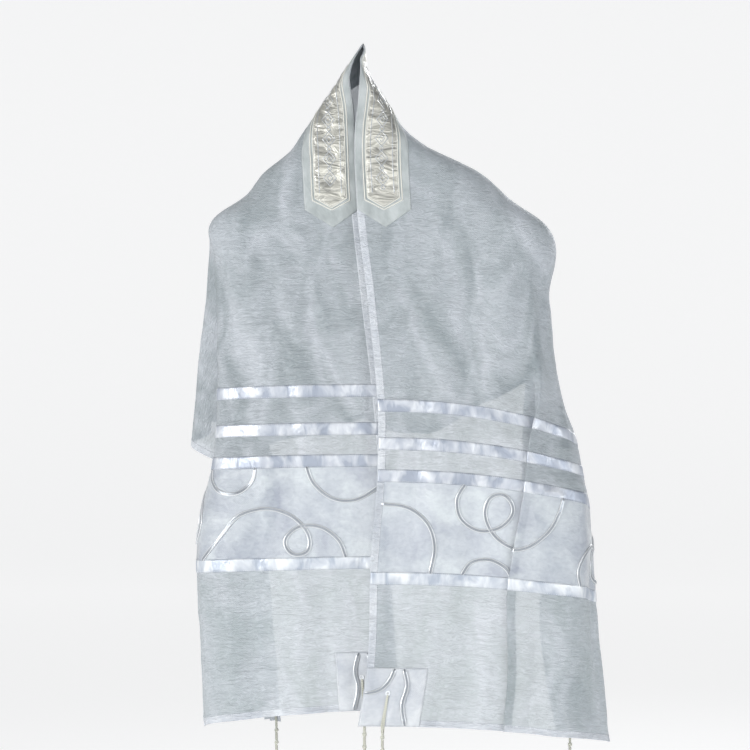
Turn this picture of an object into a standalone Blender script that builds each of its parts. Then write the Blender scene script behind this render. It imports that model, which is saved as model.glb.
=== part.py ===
"""Tallit: an open prayer shawl that hangs from its collar's middle, hollow, its two ends falling in front.

Every cloth piece is a wall on one surface. A place on the cloth is given by two lengths on the cut:
along, from the peak at the collar's middle to either end (negative to the left), and across, from the
collar edge to the outer edge. Pieces that lie on the cloth use its own points, moved out.
"""

import math

import bmesh
import bpy
import numpy as np
from mathutils import Vector

# Driving dimensions, in metres
CLOTH_WIDTH = 0.54
LEFT_LENGTH = 0.90
RIGHT_LENGTH = 0.92
WALL = 0.0012
SEAM_GAP = 0.0003
HEM_WIDTH = 0.009
HEM_STEP = 0.0025
HEM_RISE = 0.0006
RIBBON_WIDTH = 0.017
RIBBON_THICKNESS = 0.001
RIBBON_CENTRES_FROM_END = (0.429, 0.378, 0.335, 0.198)
COLLAR_WIDTH = 0.073
COLLAR_MARGIN = 0.0155
COLLAR_HALF_LENGTH = 0.228
COLLAR_POINT = 0.024
COLLAR_THICKNESS = 0.001
SATIN_HALF_LENGTH = 0.212
SATIN_POINT = 0.013
SATIN_THICKNESS = 0.001
PATCH_LENGTH = 0.078
PATCH_WIDTH = 0.082
PATCH_THICKNESS = 0.001
ROW_PITCH = 0.032
FINE_ROW_PITCH = 0.025
FINE_ROWS_TO = 0.3
LEAST_ROW = 0.004
POINT_FROM = 0.6

# How the cloth rolls over the shoulder line and fans out below the shoulder corner
CORNER_SHARE = 0.42
CORNER_MOST = 0.075
ROLL = 0.026
CROWN_ROLL = 0.05
FAN_START = 0.04
FAN_FULL = 0.19
SHOULDER_SOFT = 0.03
SAG_POWER = 2.2
LEFT_SHOULDER, RIGHT_SHOULDER = 0.235, 0.238
LEFT_SPREAD, RIGHT_SPREAD = 0.07, 0.12
FALL_FROM, FALL_TO, FALL_LEAST = 0.36, 0.86, 0.12
PLEAT_HALF_WIDTH = 0.015
PLEAT_STEEPNESS, PLEAT_FADE = 1.6, 5

# Tables of each half, with a row for each level down it, keyed by their first column.
# Edge and side: how far the collar edge and the half's side stand out, forward or back from the peak, and
# how much lower the side sags. Crease: where the half's sharpest fold lies across the cut, how much cloth
# it takes up and how far it lifts. Fan: a row for each direction round the shoulder corner, from straight
# down (0 degrees) to straight behind, with how far the cloth runs inward and back for each metre reached.
EDGE_COLUMNS = ("down", "out", "forward")
SIDE_COLUMNS = ("down", "out", "back", "sag")
CREASE_COLUMNS = ("down", "across", "take_up", "lift")
FAN_COLUMNS = ("turn_deg", "inward", "back")

LEFT_EDGE = (
    (0.00, 0.000, 0.000),
    (0.02, 0.011, 0.010),
    (0.04, 0.017, 0.018),
    (0.09, 0.012, 0.026),
    (0.22, 0.006, 0.042),
    (0.35, -0.008, 0.050),
    (0.52, -0.027, 0.055),
    (0.73, -0.038, 0.058),
    (0.90, -0.050, 0.058),
)
LEFT_SIDE = (
    (0.000, 0.000, 0.000, 0.000),
    (0.035, 0.022, 0.000, 0.000),
    (0.080, 0.052, 0.000, 0.000),
    (0.125, 0.085, 0.000, 0.000),
    (0.145, 0.099, 0.000, 0.000),
    (0.175, 0.135, 0.000, 0.000),
    (0.208, 0.162, 0.000, 0.000),
    (0.235, 0.202, 0.000, 0.001),
    (0.290, 0.202, -0.003, 0.003),
    (0.415, 0.198, -0.008, 0.006),
    (0.562, 0.204, -0.010, 0.006),
    (0.650, 0.223, -0.010, 0.007),
    (0.750, 0.223, -0.010, 0.010),
    (0.900, 0.215, -0.010, 0.027),
)
LEFT_CREASE = (
    (0.00, 0.180, 0.0, 0.0),
    (0.30, 0.205, 0.0, 0.0),
    (0.60, 0.225, 0.0, 0.0),
    (0.90, 0.250, 0.0, 0.0),
)
LEFT_FAN = (
    (0, 0.000, 0.000),
    (3, 0.006, 0.048),
    (8, 0.050, 0.105),
    (13, 0.100, 0.115),
    (20, 0.140, 0.070),
    (32, 0.190, 0.056),
    (42, 0.208, 0.082),
    (50, 0.170, 0.124),
    (64, -0.055, 0.140),
    (70, -0.115, 0.162),
    (77, -0.050, 0.195),
    (90, 0.010, 0.205),
)
RIGHT_EDGE = (
    (0.00, 0.000, 0.000),
    (0.02, 0.004, 0.012),
    (0.04, 0.004, 0.022),
    (0.09, -0.008, 0.034),
    (0.22, -0.009, 0.054),
    (0.35, 0.006, 0.063),
    (0.52, 0.020, 0.068),
    (0.58, 0.019, 0.070),
    (0.70, 0.010, 0.071),
    (0.84, 0.005, 0.071),
    (0.92, -0.007, 0.071),
)
RIGHT_SIDE = (
    (0.000, 0.000, 0.000, 0.000),
    (0.047, 0.011, 0.000, 0.000),
    (0.087, 0.036, 0.000, 0.000),
    (0.127, 0.069, 0.000, 0.000),
    (0.144, 0.095, 0.000, 0.000),
    (0.168, 0.146, 0.000, 0.000),
    (0.215, 0.208, 0.000, 0.002),
    (0.238, 0.245, 0.000, 0.006),
    (0.320, 0.254, -0.003, 0.030),
    (0.410, 0.266, -0.006, 0.050),
    (0.489, 0.286, -0.008, 0.052),
    (0.575, 0.304, -0.010, 0.042),
    (0.640, 0.312, -0.010, 0.036),
    (0.737, 0.316, -0.010, 0.028),
    (0.920, 0.333, -0.010, 0.028),
)
RIGHT_CREASE = (
    (0.00, 0.180, 0.000, 0.000),
    (0.30, 0.212, 0.000, 0.000),
    (0.47, 0.220, 0.012, 0.006),
    (0.60, 0.215, 0.021, 0.014),
    (0.74, 0.203, 0.026, 0.015),
    (0.92, 0.213, 0.026, 0.015),
)
RIGHT_FAN = (
    (0, 0.000, 0.000),
    (3, 0.006, 0.048),
    (8, 0.055, 0.100),
    (13, 0.105, 0.100),
    (22, 0.150, 0.070),
    (36, 0.190, 0.075),
    (44, 0.195, 0.100),
    (53, 0.140, 0.125),
    (66, 0.055, 0.135),
    (72, 0.045, 0.155),
    (79, 0.070, 0.180),
    (90, 0.110, 0.195),
)

# Soft folds raised out of the surface, each along a line on the cut from its start to its end
FOLD_START_SHARE, FOLD_END_SHARE = 0.35, 0.10
FOLDS = (
    # half, down and across at the start, down and across at the end, half width, rise
    (-1, 0.24, 0.17, 0.46, 0.145, 0.022, 0.006),
    (-1, 0.29, 0.20, 0.62, 0.190, 0.022, -0.005),
    (-1, 0.26, 0.12, 0.55, 0.095, 0.022, 0.005),
    (-1, 0.52, 0.04, 0.89, 0.060, 0.020, -0.004),
    (-1, 0.60, 0.13, 0.93, 0.125, 0.022, 0.006),
    (-1, 0.66, 0.19, 0.93, 0.185, 0.018, -0.005),
    (-1, 0.50, 0.34, 0.93, 0.330, 0.020, 0.009),
    (-1, 0.45, 0.40, 0.93, 0.390, 0.020, -0.009),
    (-1, 0.50, 0.46, 0.93, 0.450, 0.020, 0.009),
    (-1, 0.11, 0.24, 0.13, 0.60, 0.030, 0.010),
    (-1, 0.165, 0.24, 0.175, 0.60, 0.028, -0.006),
    (1, 0.24, 0.20, 0.50, 0.150, 0.018, 0.006),
    (1, 0.27, 0.24, 0.60, 0.260, 0.020, -0.006),
    (1, 0.30, 0.10, 0.70, 0.080, 0.022, 0.006),
    (1, 0.55, 0.13, 0.93, 0.135, 0.022, -0.006),
    (1, 0.58, 0.29, 0.95, 0.285, 0.020, 0.006),
    (1, 0.60, 0.34, 0.95, 0.345, 0.018, -0.006),
    (1, 0.62, 0.45, 0.95, 0.455, 0.020, 0.008),
    (1, 0.11, 0.24, 0.12, 0.60, 0.030, 0.010),
    (1, 0.17, 0.24, 0.18, 0.60, 0.028, -0.009),
    (1, 0.00, 0.22, 0.00, 0.60, 0.034, 0.012),
)

# Tzitzit: the corner threads, which come through the cloth, lie over its edge, are knotted, and hang free
TZITZIT_STRANDS = 8
TZITZIT_LOOP_RADIUS = 0.0014
TZITZIT_CLEARANCE = 0.0008
TZITZIT_DROP = 0.010
TZITZIT_KNOTS = 5
TZITZIT_KNOT_RADIUS = 0.0034
TZITZIT_COIL_RADIUS = 0.0023
TZITZIT_KNOTTED = 0.085
TZITZIT_FRINGE = 0.170
TZITZIT_STRAND_SHARE = 0.62
TZITZIT_SPLAY = 0.007
TZITZIT_SEGMENTS = 3
# Each knot with the coil after it, as shares of their length: where the knot swells, ends and the coil starts
KNOT_SHARES = (0.0, 0.14, 0.36, 0.50)
STRAND_TAPER = 0.25
STRAND_SWAY = 0.25
STRAND_UNEVEN = 0.05
TZITZIT_CORNERS = (
    # name, half, long edge of the cut it is near, how far in from that edge
    ("left_front", -1, 0.0, 0.048),
    ("left_back", -1, 1.0, 0.026),
    ("right_front", 1, 0.0, 0.033),
    ("right_back", 1, 1.0, 0.030),
)

VOILE = ("Voile", (0.72, 0.76, 0.80), 0.65)
ORGANZA = ("Organza", (0.80, 0.83, 0.86), 0.38)
RIBBON_SATIN = ("RibbonSatin", (0.83, 0.87, 0.92), 0.28)
COLLAR_CLOTH = ("CollarCloth", (0.84, 0.85, 0.86), 0.55)
COLLAR_SATIN = ("CollarSatin", (0.82, 0.81, 0.78), 0.30)
THREAD = ("CottonThread", (0.86, 0.84, 0.78), 0.85)


def clear_scene():
    for thing in list(bpy.data.objects):
        bpy.data.objects.remove(thing, do_unlink=True)


def material(look):
    name, colour, roughness = look
    found = bpy.data.materials.get(name)
    if found:
        return found
    made = bpy.data.materials.new(name)
    made.use_nodes = True
    shader = made.node_tree.nodes["Principled BSDF"]
    shader.inputs["Base Color"].default_value = (*colour, 1.0)
    shader.inputs["Roughness"].default_value = roughness
    shader.inputs["Metallic"].default_value = 0.0
    return made


def read(table, columns, name, key):
    """A column of a table at any key, on a smooth curve through its rows."""
    rows = np.array(table, float)
    keys, values = rows[:, 0], rows[:, columns.index(name)]
    slopes = np.gradient(values, keys)
    spot = np.clip(np.searchsorted(keys, key) - 1, 0, len(keys) - 2)
    length = keys[spot + 1] - keys[spot]
    share = np.clip((key - keys[spot]) / length, 0.0, 1.0)
    before = values[spot] + slopes[spot] * length * share * (1 - share) ** 2
    step = values[spot + 1] - values[spot]
    turn = slopes[spot + 1] * length * share**2 * (share - 1)
    return before + step * share**2 * (3 - 2 * share) + turn


def ease(value):
    """0 below 0, 1 above 1, and an even S between."""
    held = np.clip(value, 0.0, 1.0)
    return held * held * (3 - 2 * held)


HALVES = {
    -1: {
        "edge": LEFT_EDGE,
        "side": LEFT_SIDE,
        "crease": LEFT_CREASE,
        "fan": LEFT_FAN,
        "shoulder": LEFT_SHOULDER,
        "spread": LEFT_SPREAD,
    },
    1: {
        "edge": RIGHT_EDGE,
        "side": RIGHT_SIDE,
        "crease": RIGHT_CREASE,
        "fan": RIGHT_FAN,
        "shoulder": RIGHT_SHOULDER,
        "spread": RIGHT_SPREAD,
    },
}


def half_place(sign, down, across):
    """The cloth's middle on one half.

    The front lies flat, rounds back at its side, and past the side it either falls down the back, above
    the shoulder corner, or fans round that corner through the rows of the fan table, below it.
    """
    half = HALVES[sign]
    edge_out = read(half["edge"], EDGE_COLUMNS, "out", down)
    edge_back = -read(half["edge"], EDGE_COLUMNS, "forward", down)
    side_out = read(half["side"], SIDE_COLUMNS, "out", down)
    side_back = read(half["side"], SIDE_COLUMNS, "back", down)
    sag = read(half["side"], SIDE_COLUMNS, "sag", down)
    crease = read(half["crease"], CREASE_COLUMNS, "across", down)
    take_up = read(half["crease"], CREASE_COLUMNS, "take_up", down)
    lift = read(half["crease"], CREASE_COLUMNS, "lift", down)

    past_crease = (across - crease) / PLEAT_HALF_WIDTH
    laid = across - take_up * ease(past_crease / 2 + 0.5)
    step = np.tanh(PLEAT_STEEPNESS * past_crease) * np.exp(-np.abs(past_crease) / PLEAT_FADE)

    span = np.maximum(side_out - edge_out, 1e-4)
    depth = side_back - edge_back
    corner = np.minimum(CORNER_SHARE * span, CORNER_MOST)
    flat = span - corner
    arc = math.pi / 2 * np.sqrt((corner**2 + depth**2) / 2)
    turn = np.clip((laid - flat) / arc, 0.0, 1.0) * math.pi / 2
    out = edge_out + np.minimum(laid, flat) + corner * np.sin(turn)
    back = edge_back + depth * (1 - np.cos(turn)) - lift / 2 * step
    share = np.clip(laid / (flat + arc), 0.0, 1.0)
    low = down + sag * share**SAG_POWER

    beyond = np.maximum(laid - flat - arc, 0.0)
    past_shoulder = down - half["shoulder"]
    past = (past_shoulder + np.hypot(past_shoulder, SHOULDER_SOFT)) / 2
    reach = np.hypot(past, beyond)
    turned = np.degrees(np.arctan2(beyond, np.maximum(past, 1e-9)))
    open_share = ease((reach - FAN_START) / (FAN_FULL - FAN_START))
    plain = turned / 90
    inward_last, back_last = half["fan"][-1][1:]
    fan_in = read(half["fan"], FAN_COLUMNS, "inward", turned)
    fan_back = read(half["fan"], FAN_COLUMNS, "back", turned)
    inward = plain * inward_last + open_share * (fan_in - plain * inward_last)
    backward = plain * back_last + open_share * (fan_back - plain * back_last)
    roll = ROLL * (1 - np.exp(-beyond / ROLL)) * plain
    crown = down * np.maximum(1 - down / half["shoulder"], 0.0) * (1 - np.exp(-beyond / CROWN_ROLL))
    fall = 1 - (1 - FALL_LEAST) * ease((down - FALL_FROM) / (FALL_TO - FALL_FROM))
    centred = np.clip(down / half["shoulder"], 0.0, 1.0)
    spread = half["spread"] * np.sin(math.pi * centred)
    out = out - reach * (inward * centred - spread)
    back = back + reach * backward + roll + crown * back_last
    low = low + (reach - past) * fall - roll
    return np.stack([sign * out, back, -low], -1)


def base_place(along, across):
    left = half_place(-1, np.abs(along), across)
    right = half_place(1, np.abs(along), across)
    return np.where((along < 0)[..., None], left, right)


def facing(place, along, across, step=0.005):
    """The outward direction of a surface, from how it moves over a small step each way."""
    down_run = place(along + step, across) - place(along - step, across)
    side_run = place(along, across + step) - place(along, across - step)
    outward = np.cross(down_run, side_run)
    return outward / np.maximum(np.linalg.norm(outward, axis=-1, keepdims=True), 1e-12)


def fold_rise(along, across):
    """How far the soft folds lift the cloth: each is a bell across its line, eased to nothing at its ends."""
    total = np.zeros_like(along)
    for half, down_a, across_a, down_b, across_b, half_width, rise in FOLDS:
        start = np.array([half * down_a, across_a])
        run = np.array([half * down_b, across_b]) - start
        length = np.hypot(*run)
        gone = ((along - start[0]) * run[0] + (across - start[1]) * run[1]) / length
        aside = ((along - start[0]) * run[1] - (across - start[1]) * run[0]) / length
        ends = ease(gone / (FOLD_START_SHARE * length)) * ease((length - gone) / (FOLD_END_SHARE * length))
        total += rise * ends * np.exp(-((aside / half_width) ** 2))
    return total


def cloth_place(along, across):
    return base_place(along, across) + fold_rise(along, across)[..., None] * facing(base_place, along, across)


def length_of(sign):
    return LEFT_LENGTH if sign < 0 else RIGHT_LENGTH


def rows_between(first, last, pitch):
    count = max(1, round(abs(last - first) / pitch))
    return list(np.linspace(first, last, count + 1))


def merged(*lists):
    """One rising list of rows or columns from several that share their ends."""
    joined = []
    for values in lists:
        joined += [value for value in values if not joined or value > joined[-1] + 1e-6]
    return np.array(joined)


def columns_at(along):
    """Where the cloth's lines of points run across the cut, at each place along it."""
    down = np.abs(along)
    crease = np.where(
        along < 0,
        read(LEFT_CREASE, CREASE_COLUMNS, "across", down),
        read(RIGHT_CREASE, CREASE_COLUMNS, "across", down),
    )
    collar = [0, HEM_WIDTH, HEM_WIDTH + HEM_STEP, COLLAR_MARGIN, COLLAR_WIDTH / 2]
    collar += [COLLAR_WIDTH - COLLAR_MARGIN, COLLAR_WIDTH]
    far = [PATCH_WIDTH, PATCH_WIDTH / 2, HEM_WIDTH + HEM_STEP, HEM_WIDTH, 0]
    pleat = np.linspace(-PLEAT_HALF_WIDTH, PLEAT_HALF_WIDTH, 6)
    parts = [np.full((len(along), 1), value) for value in collar]
    before = np.linspace(0, 1, 5)[:-1]
    parts += [PATCH_WIDTH + (crease[:, None] - PLEAT_HALF_WIDTH - PATCH_WIDTH) * before]
    parts += [crease[:, None] + pleat]
    start = crease[:, None] + PLEAT_HALF_WIDTH
    after = np.linspace(0, 1, 11)[1:-1]
    parts += [start + (CLOTH_WIDTH - PATCH_WIDTH - start) * after]
    parts += [np.full((len(along), 1), CLOTH_WIDTH - value) for value in far]
    return np.concatenate(parts, 1)


def column_of(across):
    """The number of the column that stays at this distance from the collar edge."""
    fixed = columns_at(np.array([0.0, LEFT_LENGTH]))
    return int(np.argmin(np.abs(fixed - across).sum(0)))


def outer_skin(along, across):
    """How far the cloth's outer face stands from its middle: turned hems are thicker."""
    length = np.where(along < 0, LEFT_LENGTH, RIGHT_LENGTH)
    from_edge = np.minimum(np.minimum(across, CLOTH_WIDTH - across), length - np.abs(along))
    return WALL / 2 + HEM_RISE * (from_edge < HEM_WIDTH + HEM_STEP / 2)


def grid_faces(along):
    """Triangles of a closed wall: the first rows*columns points outside, the rest inside.

    Each square is cut along the diagonal that runs down and out, as the shoulder line does.
    """
    rows, columns = along.shape
    number = np.arange(rows * columns).reshape(rows, columns)
    a, b = number[:-1, :-1].ravel(), number[1:, :-1].ravel()
    c, d = number[1:, 1:].ravel(), number[:-1, 1:].ravel()
    left = (along[:-1, :-1] + along[1:, :-1]).ravel()[:, None] < 0
    first = np.where(left, np.stack([a, b, d], 1), np.stack([a, b, c], 1))
    second = np.where(left, np.stack([b, c, d], 1), np.stack([a, c, d], 1))
    outer = np.concatenate([first, second])
    inner = outer[:, ::-1] + rows * columns
    rim = np.concatenate([number[:, 0], number[-1, 1:], number[-2::-1, -1], number[0, -2::-1]])
    first, second = rim[:-1], rim[1:]
    below = rows * columns
    edge = np.concatenate([
        np.stack([second, first, first + below], 1),
        np.stack([second, first + below, second + below], 1),
    ])
    return np.concatenate([outer, inner, edge])


def add_piece(name, points, faces, look):
    mesh = bpy.data.meshes.new(name)
    mesh.from_pydata(points.tolist(), [], faces.tolist())
    mesh.materials.append(material(look))
    mesh.shade_smooth()
    mesh.set_sharp_from_angle(angle=math.radians(35))
    piece = bpy.data.objects.new(name, mesh)
    bpy.context.scene.collection.objects.link(piece)
    return piece


def add_wall(name, along, across, low, high, look):
    """A closed wall over a grid of places on the cloth, between two distances from the cloth's middle."""
    middle = cloth_place(along, across)
    outward = facing(cloth_place, along, across)
    outer = middle + high[..., None] * outward
    inner = middle + low[..., None] * outward
    points = np.concatenate([outer.reshape(-1, 3), inner.reshape(-1, 3)])
    return add_piece(name, points, grid_faces(along), look)


def cloth_grid(rows, first=0, last=None):
    across = columns_at(rows)
    across = across[:, first : None if last is None else last + 1]
    return np.repeat(rows[:, None], across.shape[1], 1), across


def add_cloth(name, rows, look):
    along, across = cloth_grid(rows)
    skin = outer_skin(along, across)
    add_wall(name, along, across, np.full(along.shape, -WALL / 2), skin, look)


def add_layer(name, along, across, under, thickness, look):
    """A flat piece sewn on the cloth, over pieces that already reach `under` from the cloth's face."""
    low = outer_skin(along, across) + under + SEAM_GAP
    add_wall(name, along, across, low, low + thickness, look)


def half_rows(sign):
    """Rows of points from the peak to one end: every ribbon edge, seam and hem has its own."""
    length = length_of(sign)
    marks = [0.0]
    for centre in RIBBON_CENTRES_FROM_END:
        marks += [length - centre - RIBBON_WIDTH / 2, length - centre, length - centre + RIBBON_WIDTH / 2]
    marks += [length - PATCH_LENGTH, length - HEM_WIDTH - HEM_STEP, length - HEM_WIDTH, length]
    runs = []
    for first, last in zip(marks[:-1], marks[1:]):
        pitch = FINE_ROW_PITCH if first < FINE_ROWS_TO else ROW_PITCH
        runs.append(rows_between(first, last, pitch))
    return sign * merged(*runs)


def span_of(rows, low, high):
    return np.sort(rows[(np.abs(rows) > low - 1e-6) & (np.abs(rows) < high + 1e-6)])


def build_cloth():
    """The voile body, the organza band and the voile end of each half, parted at the seams."""
    rows = {sign: half_rows(sign) for sign in (-1, 1)}
    seams = {}
    for sign, name in ((-1, "left"), (1, "right")):
        length = length_of(sign)
        upper = length - RIBBON_CENTRES_FROM_END[2]
        lower = length - RIBBON_CENTRES_FROM_END[3]
        seams[sign] = upper
        half = SEAM_GAP / 2
        for piece, start, end, look in (
            ("band", upper, lower, ORGANZA),
            ("end", lower, length, VOILE),
        ):
            chosen = span_of(rows[sign], start, end)
            first, last = np.argmin(np.abs(chosen)), np.argmax(np.abs(chosen))
            chosen[first] += sign * half
            if piece == "band":
                chosen[last] -= sign * half
            add_cloth(f"{piece}_{name}", chosen, look)
    left = span_of(rows[-1], 0, seams[-1])
    right = span_of(rows[1], 0, seams[1])
    left[0] += SEAM_GAP / 2
    right[-1] -= SEAM_GAP / 2
    add_cloth("body", np.concatenate([left, right[1:]]), VOILE)
    return rows


def build_ribbons(rows):
    for sign, name in ((-1, "left"), (1, "right")):
        length = length_of(sign)
        for number, centre in enumerate(RIBBON_CENTRES_FROM_END, 1):
            middle = length - centre
            chosen = span_of(rows[sign], middle - RIBBON_WIDTH / 2, middle + RIBBON_WIDTH / 2)
            along, across = cloth_grid(chosen)
            add_layer(f"ribbon_{name}_{number}", along, across, 0.0, RIBBON_THICKNESS, RIBBON_SATIN)


def build_patches(rows):
    """A square of organza on each corner."""
    last = columns_at(np.array([0.0])).shape[1] - 1
    near = column_of(PATCH_WIDTH)
    far = column_of(CLOTH_WIDTH - PATCH_WIDTH)
    for sign, name in ((-1, "left"), (1, "right")):
        length = length_of(sign)
        chosen = span_of(rows[sign], length - PATCH_LENGTH, length)
        for place, columns in (("front", (0, near)), ("back", (far, last))):
            along, across = cloth_grid(chosen, *columns)
            add_layer(f"patch_{name}_{place}", along, across, 0.0, PATCH_THICKNESS, ORGANZA)


def pointed(along, across, first, last, half_length, point):
    """Draws the rows of a strip out so that each of its ends comes to a point in the middle."""
    middle, half_width = (first + last) / 2, (last - first) / 2
    tip = point * (1 - np.abs(across - middle) / half_width)
    stretch = ease((np.abs(along) / half_length - POINT_FROM) / (1 - POINT_FROM))
    return along + np.sign(along) * tip * stretch


def build_collar(rows):
    """The atarah: a pointed band along the collar edge, with a plain satin panel on it."""
    every = np.concatenate([np.sort(rows[-1])[:-1], rows[1]])
    for name, first, last, half_length, point, under, thickness, look in (
        ("collar", 0.0, COLLAR_WIDTH, COLLAR_HALF_LENGTH, COLLAR_POINT, 0.0, COLLAR_THICKNESS, COLLAR_CLOTH),
        (
            "collar_panel",
            COLLAR_MARGIN,
            COLLAR_WIDTH - COLLAR_MARGIN,
            SATIN_HALF_LENGTH,
            SATIN_POINT,
            COLLAR_THICKNESS + SEAM_GAP,
            SATIN_THICKNESS,
            COLLAR_SATIN,
        ),
    ):
        chosen = every[np.abs(every) < half_length - LEAST_ROW]
        chosen = np.concatenate([[-half_length], chosen, [half_length]])
        along, across = cloth_grid(chosen, column_of(first), column_of(last))
        along = pointed(along, across, first, last, half_length, point)
        add_layer(name, along, across, under, thickness, look)


def thread_path(sign, across):
    """Centres and radii of the knotted cord: from the hole to the cloth's end along its facets, then down."""
    hole = (PATCH_LENGTH + HEM_WIDTH + HEM_STEP) / 2
    along = sign * (length_of(sign) - np.array([hole, HEM_WIDTH + HEM_STEP, HEM_WIDTH, 0.0]))
    columns = columns_at(along)[0]
    after = np.searchsorted(columns, across)
    share = (across - columns[after - 1]) / (columns[after] - columns[after - 1])
    sides = []
    for column in (after - 1, after):
        side = np.full(len(along), columns[column])
        clear = outer_skin(along, side) + SEAM_GAP + PATCH_THICKNESS + TZITZIT_CLEARANCE + TZITZIT_LOOP_RADIUS
        sides.append(cloth_place(along, side) + clear[:, None] * facing(cloth_place, along, side))
    centres = sides[0] + share * (sides[1] - sides[0])
    radii = np.full(len(along), TZITZIT_LOOP_RADIUS)
    top = centres[-1, 2] - TZITZIT_DROP
    step = TZITZIT_KNOTTED / TZITZIT_KNOTS
    down, wide = [], []
    for knot in range(TZITZIT_KNOTS):
        down += [(knot + share) * step for share in KNOT_SHARES]
        wide += [TZITZIT_COIL_RADIUS, TZITZIT_KNOT_RADIUS, TZITZIT_KNOT_RADIUS, TZITZIT_COIL_RADIUS]
    down.append(TZITZIT_KNOTTED)
    wide.append(TZITZIT_KNOT_RADIUS)
    hung = np.repeat(centres[-1:], len(down), 0)
    hung[:, 2] = top - np.array(down)
    return np.concatenate([centres, hung]), np.concatenate([radii, wide])


def ring_frame(centres):
    """Two directions square to a path at each of its points, kept from turning about it."""
    run = np.gradient(centres, axis=0)
    run /= np.linalg.norm(run, axis=1, keepdims=True)
    side = np.array([1.0, 0.0, 0.0]) - run * run[:, :1]
    side /= np.linalg.norm(side, axis=1, keepdims=True)
    return side, np.cross(run, side)


def build_tzitzit(name, sign, across, turn):
    """Knotted threads in one closed body: the free strands grow from the facets of the last knot's end."""
    centres, radii = thread_path(sign, across)
    count = TZITZIT_STRANDS
    angles = 2 * math.pi * np.arange(count) / count
    side, front = ring_frame(centres)
    ring = np.cos(angles)[:, None] * side[:, None] + np.sin(angles)[:, None] * front[:, None]
    rings = centres[:, None] + radii[:, None, None] * ring
    frame = bmesh.new()
    rows = [[frame.verts.new(point) for point in ring] for ring in rings]
    for upper, lower in zip(rows[:-1], rows[1:]):
        for number in range(count):
            after = (number + 1) % count
            frame.faces.new((upper[number], upper[after], lower[after], lower[number]))
    frame.faces.new(rows[0])
    middle = frame.verts.new(centres[-1])
    for number in range(count):
        corners = [middle, rows[-1][number], rows[-1][(number + 1) % count]]
        add_strand(frame, corners, angles[number] + math.pi / count, number, turn)
    bmesh.ops.recalc_face_normals(frame, faces=frame.faces)
    mesh = bpy.data.meshes.new(name)
    frame.to_mesh(mesh)
    frame.free()
    mesh.materials.append(material(THREAD))
    piece = bpy.data.objects.new(name, mesh)
    bpy.context.scene.collection.objects.link(piece)


def add_strand(frame, corners, angle, number, turn):
    """One free thread: a three-sided tube let out of a facet, spreading and swaying as it falls."""
    facet = [corner.co.copy() for corner in corners]
    centre = sum(facet, Vector()) / 3
    ring = [frame.verts.new(centre + TZITZIT_STRAND_SHARE * (point - centre)) for point in facet]
    for side in range(3):
        after = (side + 1) % 3
        frame.faces.new((corners[side], corners[after], ring[after], ring[side]))
    length = TZITZIT_FRINGE * (1 - STRAND_UNEVEN * ((number * 3 + turn) % 4))
    outward = Vector((math.cos(angle), -math.sin(angle), 0.0))
    for part in range(1, TZITZIT_SEGMENTS + 1):
        gone = part / TZITZIT_SEGMENTS
        sway = STRAND_SWAY * math.sin(2.6 * gone + 1.7 * number + turn)
        moved = outward * TZITZIT_SPLAY * gone * (1 + sway) - Vector((0.0, 0.0, length * gone))
        thin = TZITZIT_STRAND_SHARE * (1 - STRAND_TAPER * gone)
        lower = [frame.verts.new(centre + thin * (point - centre) + moved) for point in facet]
        for side in range(3):
            after = (side + 1) % 3
            frame.faces.new((ring[side], ring[after], lower[after], lower[side]))
        ring = lower
    frame.faces.new(ring)


def build_corners():
    for turn, (name, sign, edge, inset) in enumerate(TZITZIT_CORNERS):
        across = inset if edge == 0.0 else CLOTH_WIDTH - inset
        build_tzitzit(f"tzitzit_{name}", sign, across, turn)


def main():
    clear_scene()
    rows = build_cloth()
    build_ribbons(rows)
    build_patches(rows)
    build_collar(rows)
    build_corners()


main()
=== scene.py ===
import math

import bpy
import numpy as np
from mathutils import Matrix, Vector


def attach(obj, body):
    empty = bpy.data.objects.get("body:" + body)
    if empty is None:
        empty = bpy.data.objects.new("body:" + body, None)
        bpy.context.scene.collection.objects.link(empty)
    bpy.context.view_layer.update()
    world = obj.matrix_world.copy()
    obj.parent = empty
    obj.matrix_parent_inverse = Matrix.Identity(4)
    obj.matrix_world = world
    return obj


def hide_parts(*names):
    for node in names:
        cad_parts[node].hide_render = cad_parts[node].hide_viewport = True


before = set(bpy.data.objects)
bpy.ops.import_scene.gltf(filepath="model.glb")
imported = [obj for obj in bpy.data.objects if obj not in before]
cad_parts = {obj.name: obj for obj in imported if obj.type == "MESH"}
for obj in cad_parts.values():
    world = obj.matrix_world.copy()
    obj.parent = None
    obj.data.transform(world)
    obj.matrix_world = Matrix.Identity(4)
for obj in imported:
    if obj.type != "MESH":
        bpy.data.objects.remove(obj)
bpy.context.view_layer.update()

# The cut and how it hangs, in metres
cloth = {
    "width": 0.54,
    "lengths": {-1: 0.90, 1: 0.92},  # from the peak to each end: left, right
    "hem": 0.009,
    "rowPitch": 0.0032,
    "columnPitch": 0.0040,
    "pleatPitch": 0.0013,
}
ribbonWidth = 0.017
ribbonsFromEnd = (0.429, 0.378, 0.335, 0.198)  # ribbon centres, from the end hem up
hang = {
    "cornerShare": 0.42, "cornerMost": 0.075, "roll": 0.026, "crownRoll": 0.05,
    "fanStart": 0.04, "fanFull": 0.19, "shoulderSoft": 0.03, "sagPower": 2.2,
    "fallFrom": 0.36, "fallTo": 0.86, "fallLeast": 0.12,
}

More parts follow.
